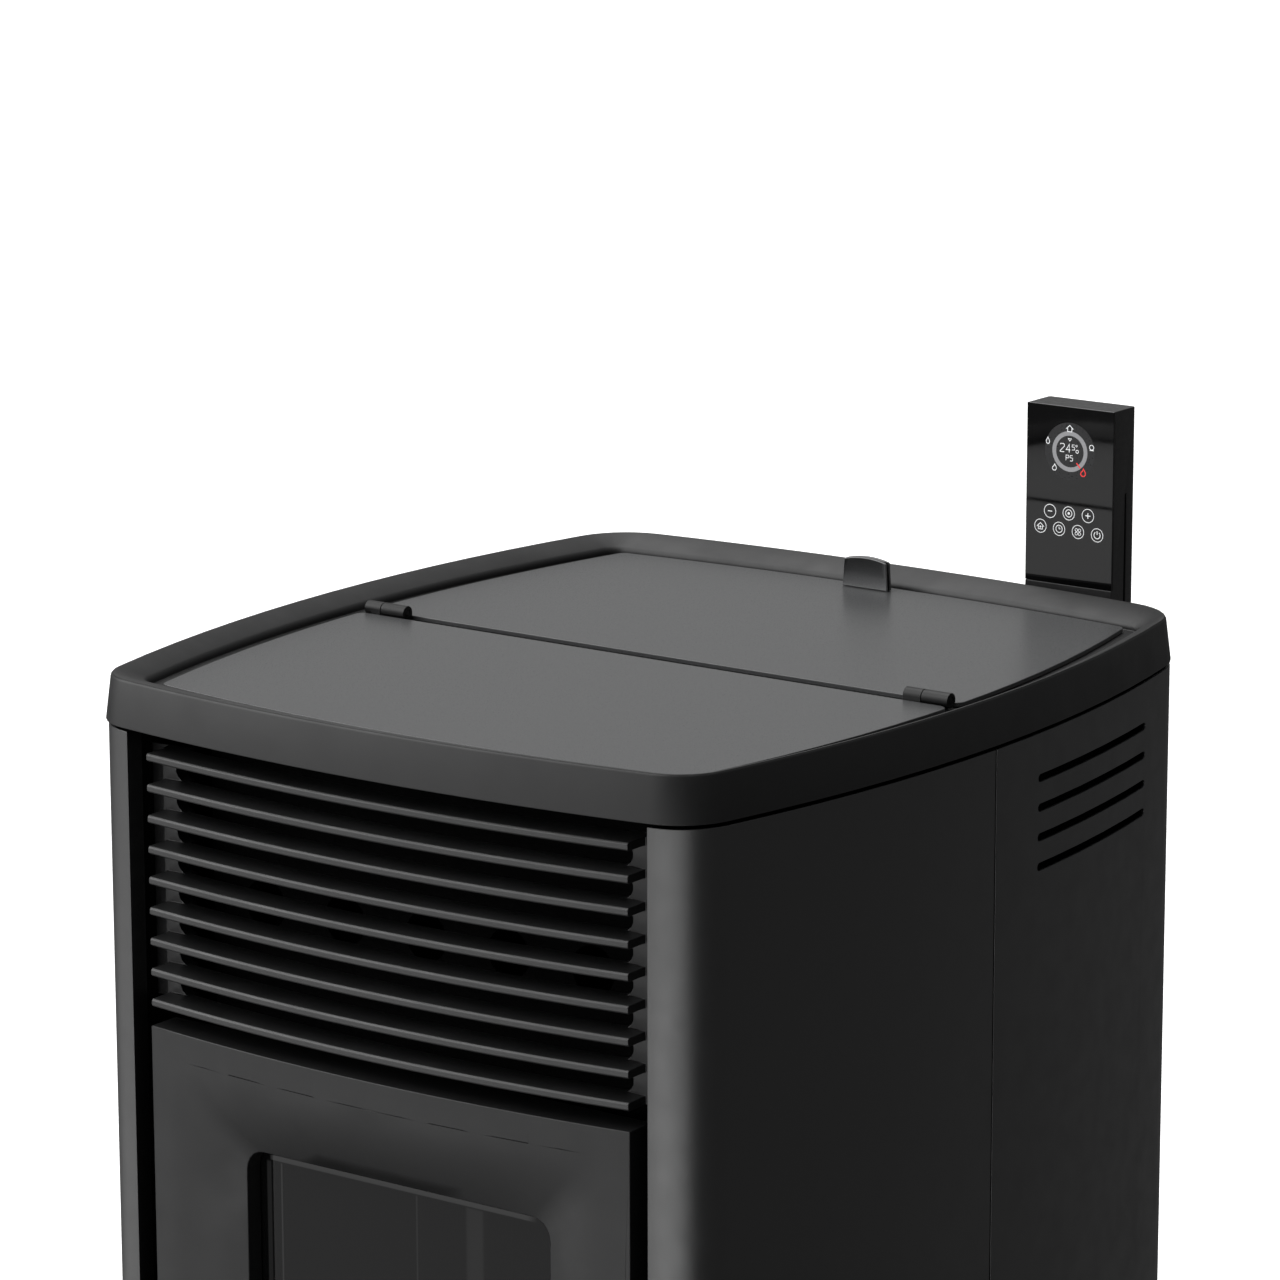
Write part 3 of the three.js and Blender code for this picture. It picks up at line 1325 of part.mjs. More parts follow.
function augerBar(from, to, radius, sides) {
  const geometry = new THREE.CylinderGeometry(radius, radius, to - from, sides);
  geometry.rotateX(Math.PI / 2).translate(0, 0, (from + to) / 2);
  return alongAuger(geometry);
}

function augerTube() {
  const bore = AUGER_RADIUS - AUGER_WALL;
  const w = AUGER_WALL;
  const neckHigh = HOPPER_FOOT - GAP;
  const neckLow = neckHigh - NECK_LENGTH;
  const neck = box(-NECK_HALF, NECK_HALF, NECK_FRONT, NECK_BACK, neckLow, neckHigh);
  const chute = box(-CHUTE_HALF, CHUTE_HALF, FIREBOX_BACK + GAP, CHUTE_BACK, CHUTE_LOW, chuteHigh);
  return cut(
    join(augerBar(0, AUGER_LENGTH, AUGER_RADIUS, 24), neck, chute),
    augerBar(w, AUGER_LENGTH - w, bore, 24),
    box(w - NECK_HALF, NECK_HALF - w, NECK_FRONT + w, NECK_BACK - w, neckLow + w, neckHigh + OVER),
    box(w - CHUTE_HALF, CHUTE_HALF - w, FIREBOX_BACK - OVER, CHUTE_BACK - w, CHUTE_LOW + w, chuteHigh - w),
    augerBar(-1, w + OVER, AUGER_SHAFT + GAP, 16),
  );
}

// Shaft with one flight wound on it
function augerScrew() {
  const outer = AUGER_RADIUS - AUGER_WALL - FLIGHT_CLEAR;
  const start = AUGER_WALL + FLIGHT_CLEAR;
  const end = AUGER_LENGTH - AUGER_WALL - FLIGHT_CLEAR - FLIGHT_THICKNESS;
  const steps = Math.round(((end - start) / FLIGHT_PITCH) * FLIGHT_STEPS);
  const rings = Array.from({ length: steps + 1 }, (_, i) => {
    const a = (i / FLIGHT_STEPS) * 2 * Math.PI;
    const z = start + (i * FLIGHT_PITCH) / FLIGHT_STEPS;
    const at = (r, lift) => new THREE.Vector3(r * Math.cos(a), r * Math.sin(a), z + lift);
    const root = AUGER_SHAFT - OVER;
    return [at(root, 0), at(outer, 0), at(outer, FLIGHT_THICKNESS), at(root, FLIGHT_THICKNESS)];
  });
  const flight = loft(rings.map((ring) => ring.map((p) => p.applyMatrix4(augerTurn))));
  return augerBar(GAP, AUGER_LENGTH - AUGER_WALL - GAP, AUGER_SHAFT, 16).add(flight);
}

function augerMotor() {
  const g = GEARBOX_SIZE / 2;
  const gearbox = new THREE.BoxGeometry(2 * g, 2 * g, GEARBOX_DEPTH);
  gearbox.translate(0, 0, -GAP - GEARBOX_DEPTH / 2);
  const low = -GAP - GEARBOX_DEPTH;
  return alongAuger(gearbox).add(augerBar(low - MOTOR_LENGTH, low + OVER, MOTOR_RADIUS, 24));
}

// Smoke and air --------------------------------------------------------------

const smokeBack = SMOKE_FRONT + SMOKE_DEPTH;

// Round fan case with a spout to the flue and a spigot forward to the firebox
function smokeFanHousing() {
  const w = SMOKE_WALL;
  const inner = [SMOKE_FRONT + w, smokeBack - w];
  const left = FLUE_X - SPOUT_HALF;
  const half = SPOUT_HALF;
  return cut(
    join(
      bar("y", SMOKE_X, SMOKE_Z, SMOKE_FRONT, smokeBack, SMOKE_RADIUS, 32),
      box(left, SMOKE_X, SMOKE_FRONT, smokeBack, SMOKE_Z - half, SMOKE_Z + half),
      bar("y", SMOKE_X, SMOKE_Z, FIREBOX_BACK + GAP, SMOKE_FRONT + OVER, SMOKE_INLET + w, 24),
    ),
    bar("y", SMOKE_X, SMOKE_Z, ...inner, SMOKE_RADIUS - w, 32),
    box(left + w, SMOKE_X, ...inner, SMOKE_Z - half + w, SMOKE_Z + half - w),
    bar("y", SMOKE_X, SMOKE_Z, FIREBOX_BACK, SMOKE_FRONT + w + OVER, SMOKE_INLET, 24),
    bar("y", FLUE_X, SMOKE_Z, smokeBack - w - OVER, smokeBack + OVER, FLUE_RADIUS - FLUE_WALL, 32),
    bar("y", SMOKE_X, SMOKE_Z, smokeBack - w - OVER, smokeBack + OVER, SMOKE_SHAFT + GAP, 16),
  );
}

function smokeFanImpeller() {
  const front = SMOKE_FRONT + SMOKE_WALL + SMOKE_SIDE_CLEAR;
  const back = smokeBack - SMOKE_WALL - SMOKE_SIDE_CLEAR;
  const tip = SMOKE_RADIUS - SMOKE_WALL - SMOKE_TIP_CLEAR;
  const root = SMOKE_HUB_RADIUS - 2 * OVER;
  const blades = Array.from({ length: SMOKE_BLADES }, (_, i) => {
    const blade = new THREE.BoxGeometry(tip - OVER - root, back - front, SMOKE_BLADE_THICKNESS);
    blade.translate((root + tip - OVER) / 2, (front + back) / 2, 0);
    blade.rotateY((i / SMOKE_BLADES) * 2 * Math.PI).translate(SMOKE_X, 0, SMOKE_Z);
    return solid(blade);
  });
  return join(
    bar("y", SMOKE_X, SMOKE_Z, back - SHEET, back, tip, 32),
    bar("y", SMOKE_X, SMOKE_Z, front, back, SMOKE_HUB_RADIUS, 20),
    bar("y", SMOKE_X, SMOKE_Z, front, smokeBack, SMOKE_SHAFT, 16),
    ...blades,
  );
}

function smokeFanMotor() {
  const front = smokeBack + GAP;
  const flangeRadius = SMOKE_MOTOR_RADIUS + SMOKE_FLANGE_RISE;
  return join(
    bar("y", SMOKE_X, SMOKE_Z, front, front + COLLAR_WIDTH, flangeRadius, 24),
    bar("y", SMOKE_X, SMOKE_Z, front, front + SMOKE_MOTOR_LENGTH, SMOKE_MOTOR_RADIUS, 24),
  );
}

// A round pipe with a collar where it meets its seat
function pipe(x, z, from, to, radius, wall, sides) {
  return cut(
    join(
      bar("y", x, z, from, to, radius, sides),
      bar("y", x, z, from, from + COLLAR_WIDTH, radius + COLLAR_RISE, sides),
    ),
    bar("y", x, z, from - OVER, to + OVER, radius - wall, sides),
  );
}

const roomY = ROOM_FRONT + ROOM_DEPTH / 2;
const roomZ = CASING_LOW + ROOM_HEIGHT / 2;

// Cross-flow fan: an open-topped case with a rear inlet and a side hole for the shaft
function roomFanHousing() {
  const back = ROOM_FRONT + ROOM_DEPTH;
  const low = CASING_LOW;
  const high = low + ROOM_HEIGHT;
  const s = SHEET;
  const inletHalf = ROOM_HALF - ROOM_INLET_SIDE;
  const m = ROOM_INLET_MARGIN;
  return cut(
    box(-ROOM_HALF, ROOM_HALF, ROOM_FRONT, back, low, high),
    box(s - ROOM_HALF, ROOM_HALF - s, ROOM_FRONT + s, back - s, low + s, high + OVER),
    box(-inletHalf, inletHalf, back - s - OVER, back + OVER, low + m, high - m),
    bar("x", roomY, roomZ, ROOM_HALF - s - OVER, ROOM_HALF + OVER, ROOM_SHAFT + GAP, 16),
  );
}

function roomFanImpeller() {
  const half = ROOM_HALF - SHEET - ROOM_DRUM_CLEAR;
  const disc = (x) => bar("x", roomY, roomZ, x, x + SHEET, ROOM_DRUM_RADIUS, 32);
  const blades = Array.from({ length: ROOM_BLADES }, (_, i) => {
    const blade = new THREE.BoxGeometry(2 * half, ROOM_BLADE_WIDTH, ROOM_BLADE_THICKNESS);
    blade.rotateX(ROOM_BLADE_TILT * RAD).translate(0, ROOM_DRUM_RADIUS - ROOM_BLADE_IN, 0);
    blade.rotateX((i / ROOM_BLADES) * 2 * Math.PI).translate(0, roomY, roomZ);
    return solid(blade);
  });
  return join(
    disc(-half),
    disc(half - SHEET),
    bar("x", roomY, roomZ, GAP + SHEET - ROOM_HALF, ROOM_HALF, ROOM_SHAFT, 16),
    ...blades,
  );
}

function roomFanMotor() {
  const start = ROOM_HALF + GAP;
  return bar("x", roomY, roomZ, start, start + ROOM_MOTOR_LENGTH, ROOM_MOTOR_RADIUS, 24);
}

// Electrics -----------------------------------------------------------------

function controlBoard() {
  const wall = GAP - FRAME_INNER;
  const card = wall + BOARD_STAND;
  const back = BOARD_FRONT + BOARD_LENGTH;
  const high = BOARD_LOW + BOARD_HEIGHT;
  const near = BOARD_POST_IN;
  const parts = BOARD_PARTS.map(([rise, from, to, bottom, top]) =>
    box(card, card + rise, BOARD_FRONT + from, BOARD_FRONT + to, BOARD_LOW + bottom, BOARD_LOW + top),
  );
  const posts = [
    [BOARD_FRONT + near, BOARD_LOW + near],
    [back - near, BOARD_LOW + near],
    [BOARD_FRONT + near, high - near],
    [back - near, high - near],
  ].map(([y, z]) => bar("x", y, z, wall, card, BOARD_POST_RADIUS, 8));
  const sheet = box(card - OVER, card + OVER, BOARD_FRONT, back, BOARD_LOW, high);
  return join(sheet, ...parts, ...posts);
}

const coverFace = COVER_BACK + GAP;
const switchX = INLET_X + INLET_WIDTH / 2 - SWITCH_WIDTH;

// Mains inlet with its three-pin well, and a seat for the rocker switch
function powerInlet() {
  const half = INLET_WIDTH / 2;
  const high = INLET_HEIGHT / 2;
  const face = coverFace + SHEET;
  const body = SHEET + GAP;
  const flange = box(INLET_X - half, INLET_X + half, coverFace, face, INLET_Z - high, INLET_Z + high);
  const shell = box(
    INLET_X - half + body,
    INLET_X + half - body,
    face - INLET_DEPTH,
    coverFace + OVER,
    INLET_Z - high + body,
    INLET_Z + high - body,
  );
  const wellX = INLET_X - half / 2 + SHEET;
  const well = box(
    wellX - WELL_HALF,
    wellX + WELL_HALF,
    face - WELL_DEPTH,
    face + OVER,
    INLET_Z - WELL_RISE,
    INLET_Z + WELL_RISE,
  );
  const seatHalf = SWITCH_WIDTH / 2 + SEAT_CLEAR;
  const seatRise = SWITCH_HEIGHT / 2 + SEAT_CLEAR;
  const seat = box(
    switchX - seatHalf,
    switchX + seatHalf,
    face - SEAT_DEPTH,
    face + OVER,
    INLET_Z - seatRise,
    INLET_Z + seatRise,
  );
  const pins = [-PIN_PITCH, 0, PIN_PITCH].map((x) =>
    bar("y", wellX + x, INLET_Z, face - WELL_DEPTH - OVER, face - PIN_SINK, PIN_RADIUS, 8),
  );
  return join(cut(join(flange, shell), well, seat), ...pins);
}

const switchAxisY = coverFace + SHEET - ROCKER_FOOT;

function powerSwitch() {
  const half = SWITCH_HEIGHT / 2;
  const outline = [
    [SEAT_CLEAR - half, -ROCKER_FOOT],
    [half - SEAT_CLEAR, -ROCKER_FOOT],
    [half, ROCKER_HORN],
    [0, ROCKER_DIP],
    [-half, ROCKER_HORN],
  ];
  const shape = new THREE.Shape(outline.map(([z, y]) => new THREE.Vector2(y, z)));
  const geometry = new THREE.ExtrudeGeometry(shape, { depth: SWITCH_WIDTH, bevelEnabled: false });
  geometry.applyMatrix4(new THREE.Matrix4().makeBasis(
    new THREE.Vector3(0, 1, 0),
    new THREE.Vector3(0, 0, 1),
    new THREE.Vector3(1, 0, 0),
  ));
  geometry.rotateX(-SWITCH_TILT * RAD);
  geometry.translate(switchX - SWITCH_WIDTH / 2, switchAxisY, INLET_Z);
  return solid(geometry);
}

// Control panel ---------------------------------------------------------------

const panelLeft = PANEL_X - PANEL_WIDTH / 2;
const panelRight = PANEL_X + PANEL_WIDTH / 2;

function panelHousing() {
  const front = PANEL_FRONT + PANEL_GLASS;
  const r = PANEL_ROUND;
  const corners = [
    [panelLeft + r, PANEL_BACK - r, 90],
    [panelRight - r, PANEL_BACK - r, 0],
  ].map(([x, y, from]) =>
    [90, 60, 30, 0].map((a) => {
      const turn = (from + a) * RAD;
      return new THREE.Vector2(x + r * Math.cos(turn), y + r * Math.sin(turn));
    }),
  );
  const outline = [
    new THREE.Vector2(panelLeft, front),
    new THREE.Vector2(panelRight, front),
    ...corners[1].reverse(),
    ...corners[0].reverse(),
  ];
  const grooveY = PANEL_FRONT + PANEL_GROOVE_BACK;
  const grooveTop = PANEL_TOP - PANEL_GROOVE_DROP;
  const grooves = [panelLeft, panelRight].map((x) =>
    box(
      x - PANEL_GROOVE_DEPTH,
      x + PANEL_GROOVE_DEPTH,
      grooveY,
      grooveY + PANEL_GROOVE_WIDTH,
      PANEL_LOW - OVER,
      grooveTop,
    ),
  );
  const half = SPINE_WIDTH / 2 + GAP;
  const slotTop = PANEL_LOW + SPINE_HEIGHT + GAP;
  const slot = box(
    PANEL_X - half,
    PANEL_X + half,
    PANEL_BACK - SPINE_DEPTH - GAP,
    PANEL_BACK + OVER,
    PANEL_LOW - OVER,
    slotTop,
  );
  const chin = box(
    panelLeft,
    panelRight,
    PANEL_FRONT,
    front + OVER,
    PANEL_LOW,
    PANEL_TOP - PANEL_GLASS_HEIGHT - GAP,
  );
  return cut(join(prism(outline, PANEL_LOW, PANEL_TOP), chin), ...grooves, slot);
}

function panelGlass() {
  return box(
    panelLeft,
    panelRight,
    PANEL_FRONT,
    PANEL_FRONT + PANEL_GLASS - GAP,
    PANEL_TOP - PANEL_GLASS_HEIGHT,
    PANEL_TOP,
  );
}

// Plate on the rear cover, a shelf out under the panel and a spine up its back
function panelBracket() {
  const shelfTop = PANEL_LOW - GAP;
  const plateHigh = PANELS_TOP - COVER_TOP_DROP;
  const plateLow = plateHigh - BRACKET_DROP;
  const spineBack = PANEL_BACK - GAP;
  const half = SPINE_WIDTH / 2;
  return join(
    box(panelLeft, panelRight, coverFace, coverFace + SHEET, plateLow, plateHigh),
    box(panelLeft, panelRight, coverFace, spineBack, shelfTop - SHEET, shelfTop),
    box(
      PANEL_X - half,
      PANEL_X + half,
      spineBack - SPINE_DEPTH + GAP,
      spineBack,
      shelfTop - OVER,
      PANEL_LOW + SPINE_HEIGHT,
    ),
  );
}

// The part --------------------------------------------------------------------

piece("base_plate", basePlate(), blackSheet);
for (const [place, x, y] of footPlaces) piece("foot_" + place, foot(x, y), plastic);
for (const [hand, side] of [["left", -1], ["right", 1]]) {
  piece(hand + "_frame_side", frameSide(side), blackSheet);
  piece(hand + "_side_panel", sidePanel(side), blackSheet);
  piece(hand + "_rear_side_panel", rearSidePanel(side), blackSheet);
  piece(hand + "_lid_hinge_leaf", hingeLeaf(side), blackSheet);
  piece(hand + "_lid_knuckle", lidKnuckle(side), blackSheet);
}
piece("rear_cover", rearCover(), blackSheet);
piece("top_tray", topTray(), castIron);
piece("front_top_plate", lidHalf(-1), lidSheet);
piece("hopper_lid", lidHalf(1), lidSheet);
piece("lid_tab", lidTab(), blackSheet);
piece("lid_gasket", lidGasket(), ropeGrey);
piece("air_grille", airGrille(), castIron);
piece("plinth_panel", plinthPanel(), blackSheet);
piece("door_frame", doorFrame(), castIron);
piece("door_glass", box(-glassHalf, glassHalf, GLASS_FRONT, GLASS_BACK, glassLow, glassHigh), glass);
piece("glass_retainer", glassRetainer(), blackSheet);
piece(
  "door_gasket",
  frameRing(ROPE_HALF, ropeLow, ropeHigh, ROPE_WIDTH, GLASS_FRONT, FIREBOX_FRONT - GAP),
  ropeGrey,
);
piece("lower_door_hinge", doorHinge(hingeLevels[0]), steel);
piece("upper_door_hinge", doorHinge(hingeLevels[1]), steel);
piece("door_handle", doorHandle(), steel);
piece("latch_cam", latchCam(), steel);
piece("latch_keeper", latchKeeper(), steel);
piece("ash_chamber", ashChamber(), blackSheet);
piece("ash_drawer", ashDrawer(), steel);
piece("drawer_front", drawerFront(), castIron);
piece("firebox", firebox(), blackSheet);
piece("firebox_lining", fireboxLining(), stone);
piece("burn_pot", burnPot(), castIron);
piece("igniter", igniter(), steel);
piece("heat_exchanger", heatExchanger(), blackSheet);
piece("hopper", hopper(), steel);
piece("auger_tube", augerTube(), steel);
piece("auger_screw", augerScrew(), steel);
piece("auger_motor", augerMotor(), plastic);
piece("smoke_fan_housing", smokeFanHousing(), steel);
piece("smoke_fan_impeller", smokeFanImpeller(), steel);
piece("smoke_fan_motor", smokeFanMotor(), plastic);
const fluePipe = pipe(FLUE_X, SMOKE_Z, smokeBack + GAP, FLUE_END, FLUE_RADIUS, FLUE_WALL, 32);
piece("flue_outlet", fluePipe, blackSheet);
const airPipe = pipe(INTAKE_X, INTAKE_Z, FIREBOX_BACK + GAP, INTAKE_END, INTAKE_RADIUS, INTAKE_WALL, 24);
piece("air_intake", airPipe, steel);
piece("room_fan_housing", roomFanHousing(), steel);
piece("room_fan_impeller", roomFanImpeller(), steel);
piece("room_fan_motor", roomFanMotor(), plastic);
piece("control_board", controlBoard(), circuit);
piece("power_inlet", powerInlet(), plastic);
piece("power_switch", powerSwitch(), plastic);
piece("panel_bracket", panelBracket(), blackSheet);
piece("panel_housing", panelHousing(), plastic);
piece("panel_glass", panelGlass(), glass);

// The origin is on the floor under the middle of the whole part's box
part.position.y = -(gripY - GRIP_RADIUS + PANEL_BACK) / 2;

export default part;
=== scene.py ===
import math

import bmesh
import bpy
from mathutils import Matrix, Vector


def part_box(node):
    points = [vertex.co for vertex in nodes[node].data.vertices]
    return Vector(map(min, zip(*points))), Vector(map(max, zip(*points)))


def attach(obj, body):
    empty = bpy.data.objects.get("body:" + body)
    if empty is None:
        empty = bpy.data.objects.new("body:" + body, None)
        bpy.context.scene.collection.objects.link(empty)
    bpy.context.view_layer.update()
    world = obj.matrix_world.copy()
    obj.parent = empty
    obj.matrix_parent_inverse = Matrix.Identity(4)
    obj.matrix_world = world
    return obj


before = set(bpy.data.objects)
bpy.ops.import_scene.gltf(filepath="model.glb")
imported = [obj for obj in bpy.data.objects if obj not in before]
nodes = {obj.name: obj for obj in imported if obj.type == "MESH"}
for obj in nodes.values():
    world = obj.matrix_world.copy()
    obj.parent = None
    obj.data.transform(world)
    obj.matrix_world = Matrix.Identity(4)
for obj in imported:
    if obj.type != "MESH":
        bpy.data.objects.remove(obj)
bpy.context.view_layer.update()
MM = 0.001


# Camera: fitted to the tray, the slats, the door and the panel in the photograph
CAMERA_FROM_TRAY = Vector((1.9403, -2.3832, 1.8334))  # from under the middle of the tray's front edge
CAMERA_AZIMUTH = math.radians(35.53)
CAMERA_ELEVATION = math.radians(12.84)
CAMERA_LENS = 152.8
CAMERA_SHIFT = -0.0409
SENSOR_WIDTH = 36.0
CLIP_START = 0.1
CLIP_END = 200.0


def make_camera():
    data = bpy.data.cameras.new("camera")
    data.lens = CAMERA_LENS
    data.sensor_width = SENSOR_WIDTH
    data.shift_x = CAMERA_SHIFT
    data.clip_start = CLIP_START
    data.clip_end = CLIP_END
    camera = bpy.data.objects.new("camera", data)
    bpy.context.scene.collection.objects.link(camera)
    flat = math.cos(CAMERA_ELEVATION)
    back = Vector((
        math.sin(CAMERA_AZIMUTH) * flat,
        -math.cos(CAMERA_AZIMUTH) * flat,
        math.sin(CAMERA_ELEVATION),
    ))
    right = Vector((math.cos(CAMERA_AZIMUTH), math.sin(CAMERA_AZIMUTH), 0.0))
    up = back.cross(right)
    turn = Matrix((right, up, back)).transposed().to_4x4()
    tray_front = Vector((0.0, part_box("top_tray")[0].y, 0.0))
    camera.matrix_world = Matrix.Translation(tray_front + CAMERA_FROM_TRAY) @ turn
    bpy.context.scene.camera = camera


# Studio: a white floor, two large soft lamps and a surround of soft light, brightest at the front left
FLOOR_REACH = 60.0
FLOOR_COLOUR = (0.85, 0.85, 0.85, 1.0)
FLOOR_ROUGHNESS = 0.9
FLOOR_GLOW = 0.62
WHITE_LIGHT = (1.0, 1.0, 1.0, 1.0)
# Each lamp: name, place, point it faces, size, power in watts
LAMPS = [
    ("key", (-3.2, -1.6, 2.6), (0, 0, 0.8), (2.4, 2.4), 26),
    ("top", (-0.6, 0.9, 3.4), (0, 0, 0.9), (2.2, 2.2), 22),
]

def area_light(name, place, target, size, power):
    data = bpy.data.lights.new(name, "AREA")
    data.shape = "RECTANGLE"
    data.size = size[0]
    data.size_y = size[1]
    data.energy = power
    light = bpy.data.objects.new(name, data)
    light.location = place
    light.rotation_euler = (Vector(target) - Vector(place)).to_track_quat("-Z", "Y").to_euler()
    bpy.context.scene.collection.objects.link(light)


# Each lobe of soft light: direction, cosine where it starts, cosine where it is full, strength
SKY = [
    ((-0.60, -0.76, 0.20), 0.60, 0.95, 1.7),
    ((-0.55, -0.25, 0.78), 0.70, 0.95, 2.4),
    ((0.0, 0.0, 1.0), 0.45, 1.0, 0.45),
    ((-0.57, 0.79, 0.22), 0.80, 0.98, 0.35),
]
GROUND = [
    ((-0.50, -0.85, -0.10), 0.05, 0.95, 1.65),
    ((0.28, -1.0, -0.22), 0.77, 0.98, 2.5),
    ((0.375, 0.927, 0.0), 0.93, 1.0, 0.22),
]
DARK = 0.09
HORIZON = (-0.235, -0.215, -0.15, -0.10)  # heights between which a dark band lies, with soft edges
BAND_LIGHT = 0.07
DEEP = (-0.80, -0.28, 0.40)  # the ground falls off to this share between these heights


class Tree:
    """Short ways to add nodes to a node tree."""

    def __init__(self, tree):
        self.tree = tree

    def add(self, kind, **values):
        node = self.tree.nodes.new(kind)
        for key, value in values.items():
            node.inputs[key].default_value = value
        return node

    def link(self, a, b):
        self.tree.links.new(a, b)

    def maths(self, operation, a, b=0.0):
        node = self.tree.nodes.new("ShaderNodeMath")
        node.operation = operation
        for socket, value in zip(node.inputs, (a, b)):
            if isinstance(value, (int, float)):
                socket.default_value = value
            else:
                self.link(value, socket)
        return node.outputs[0]

    def between(self, value, low, high, new_low, new_high, smooth=False):
        node = self.tree.nodes.new("ShaderNodeMapRange")
        if smooth:
            node.interpolation_type = "SMOOTHSTEP"
        for i, number in enumerate((low, high, new_low, new_high), 1):
            node.inputs[i].default_value = number
        self.link(value, node.inputs[0])
        return node.outputs[0]

    def towards(self, vector, way):
        node = self.tree.nodes.new("ShaderNodeVectorMath")
        node.operation = "DOT_PRODUCT"
        self.link(vector, node.inputs[0])
        node.inputs[1].default_value = Vector(way).normalized()
        return node.outputs["Value"]


def glow(t, way, lobes):
    total = None
    for lobe, start, full, strength in lobes:
        part = t.between(t.towards(way, lobe), start, full, 0.0, strength, smooth=True)
        total = t.maths("ADD", total, part) if total else t.maths("ADD", part, DARK)
    return total


def make_world():
    world = bpy.data.worlds.new("studio")
    bpy.context.scene.world = world
    world.use_nodes = True
    world.node_tree.nodes.clear()
    t = Tree(world.node_tree)
    way = t.add("ShaderNodeTexCoord").outputs["Generated"]
    height = t.towards(way, (0.0, 0.0, 1.0))
    low, band_low, band_high, high = HORIZON
    below = t.between(height, low, band_low, 1.0, 0.0, smooth=True)
    above = t.between(height, band_high, high, 0.0, 1.0, smooth=True)
    fall = t.between(height, DEEP[0], DEEP[1], DEEP[2], 1.0, smooth=True)
    ground = t.maths("MULTIPLY", t.maths("MULTIPLY", glow(t, way, GROUND), fall), below)
    sky = t.maths("MULTIPLY", glow(t, way, SKY), above)
    light = t.maths("ADD", t.maths("ADD", ground, sky), BAND_LIGHT)
    lit = t.add("ShaderNodeBackground")
    t.link(light, lit.inputs["Strength"])
    seen = t.add("ShaderNodeBackground", Color=WHITE_LIGHT, Strength=1.0)
    mix = t.add("ShaderNodeMixShader")
    t.link(t.add("ShaderNodeLightPath").outputs["Is Camera Ray"], mix.inputs[0])
    t.link(lit.outputs[0], mix.inputs[1])
    t.link(seen.outputs[0], mix.inputs[2])
    t.link(mix.outputs[0], t.add("ShaderNodeOutputWorld").inputs[0])


def make_floor():
    mesh = bpy.data.meshes.new("floor")
    reach = FLOOR_REACH
    corners = [(-reach, -reach, 0), (reach, -reach, 0), (reach, reach, 0), (-reach, reach, 0)]
    mesh.from_pydata(corners, [], [(0, 1, 2, 3)])
    floor = bpy.data.objects.new("floor", mesh)
    bpy.context.scene.collection.objects.link(floor)
    material = bpy.data.materials.new("floor")
    material.use_nodes = True
    shader = material.node_tree.nodes["Principled BSDF"]
    shader.inputs["Base Color"].default_value = FLOOR_COLOUR
    shader.inputs["Roughness"].default_value = FLOOR_ROUGHNESS
    shader.inputs["Specular IOR Level"].default_value = 0.0
    shader.inputs["Emission Color"].default_value = WHITE_LIGHT
    shader.inputs["Emission Strength"].default_value = FLOOR_GLOW
    mesh.materials.append(material)
    # The world's lower half stands for the floor in reflections and soft light
    floor.visible_glossy = False
    floor.visible_diffuse = False


def make_studio():
    scene = bpy.context.scene
    scene.view_settings.view_transform = "Standard"
    scene.view_settings.look = "None"
    make_world()
    make_floor()
    for lamp in LAMPS:
        area_light(*lamp)


# Materials


class Shader(Tree):
    """A material's node tree round its Principled shader."""

    def __init__(self, name, colour, roughness, metallic=0.0, specular=0.5):
        self.material = bpy.data.materials.new(name)
        self.material.use_nodes = True
        super().__init__(self.material.node_tree)
        self.main = self.tree.nodes["Principled BSDF"]
        self.set("Base Color", (*colour, 1.0))
        self.set("Roughness", roughness)
        self.set("Metallic", metallic)
        self.set("Specular IOR Level", specular)
        self.place = self.tree.nodes.new("ShaderNodeTexCoord").outputs["Object"]

    def set(self, socket, value):
        self.main.inputs[socket].default_value = value

    def stretched(self, scale):
        node = self.add("ShaderNodeMapping", Scale=scale)
        self.link(self.place, node.inputs["Vector"])
        return node.outputs["Vector"]

    def noise(self, scale, detail=3.0, roughness=0.5, vector=None):
        node = self.add("ShaderNodeTexNoise", Scale=scale, Detail=detail, Roughness=roughness)
        self.link(vector or self.place, node.inputs["Vector"])
        return node.outputs["Fac"]

    def shades(self, value, dark, light):
        node = self.tree.nodes.new("ShaderNodeValToRGB")
        node.color_ramp.elements[0].position = 0.3
        node.color_ramp.elements[0].color = (*dark, 1.0)
        node.color_ramp.elements[1].position = 0.7
        node.color_ramp.elements[1].color = (*light, 1.0)
        self.link(value, node.inputs["Fac"])
        self.link(node.outputs["Color"], self.main.inputs["Base Color"])

    def rough(self, value, low, high):
        self.link(self.between(value, 0.3, 0.7, low, high), self.main.inputs["Roughness"])

    def bumps(self, *layers):
        """Each layer is (height, strength, depth in mm)."""
        normal = None
        for height, strength, depth in layers:
            node = self.add("ShaderNodeBump", Strength=strength, Distance=depth * MM)
            self.link(height, node.inputs["Height"])
            if normal:
                self.link(normal, node.inputs["Normal"])
            normal = node.outputs["Normal"]
        self.link(normal, self.main.inputs["Normal"])


def scaled(colour, factor):
    return tuple(c * factor for c in colour)


def enamel(name, colour, roughness, specular, grain=1400.0):
    """Matt enamel on a casting: fine tooth, slow swell and slight mottling."""
    s = Shader(name, colour, roughness, specular=specular)
    mottle = s.noise(9.0, 4.0, 0.6)
    s.shades(mottle, scaled(colour, 0.82), scaled(colour, 1.2))
    s.rough(s.noise(35.0, 3.0), roughness - 0.05, roughness + 0.06)
    s.bumps((s.noise(14.0, 2.0), 0.25, 0.5), (s.noise(grain, 4.0, 0.6), 0.5, 0.12))
    return s.material


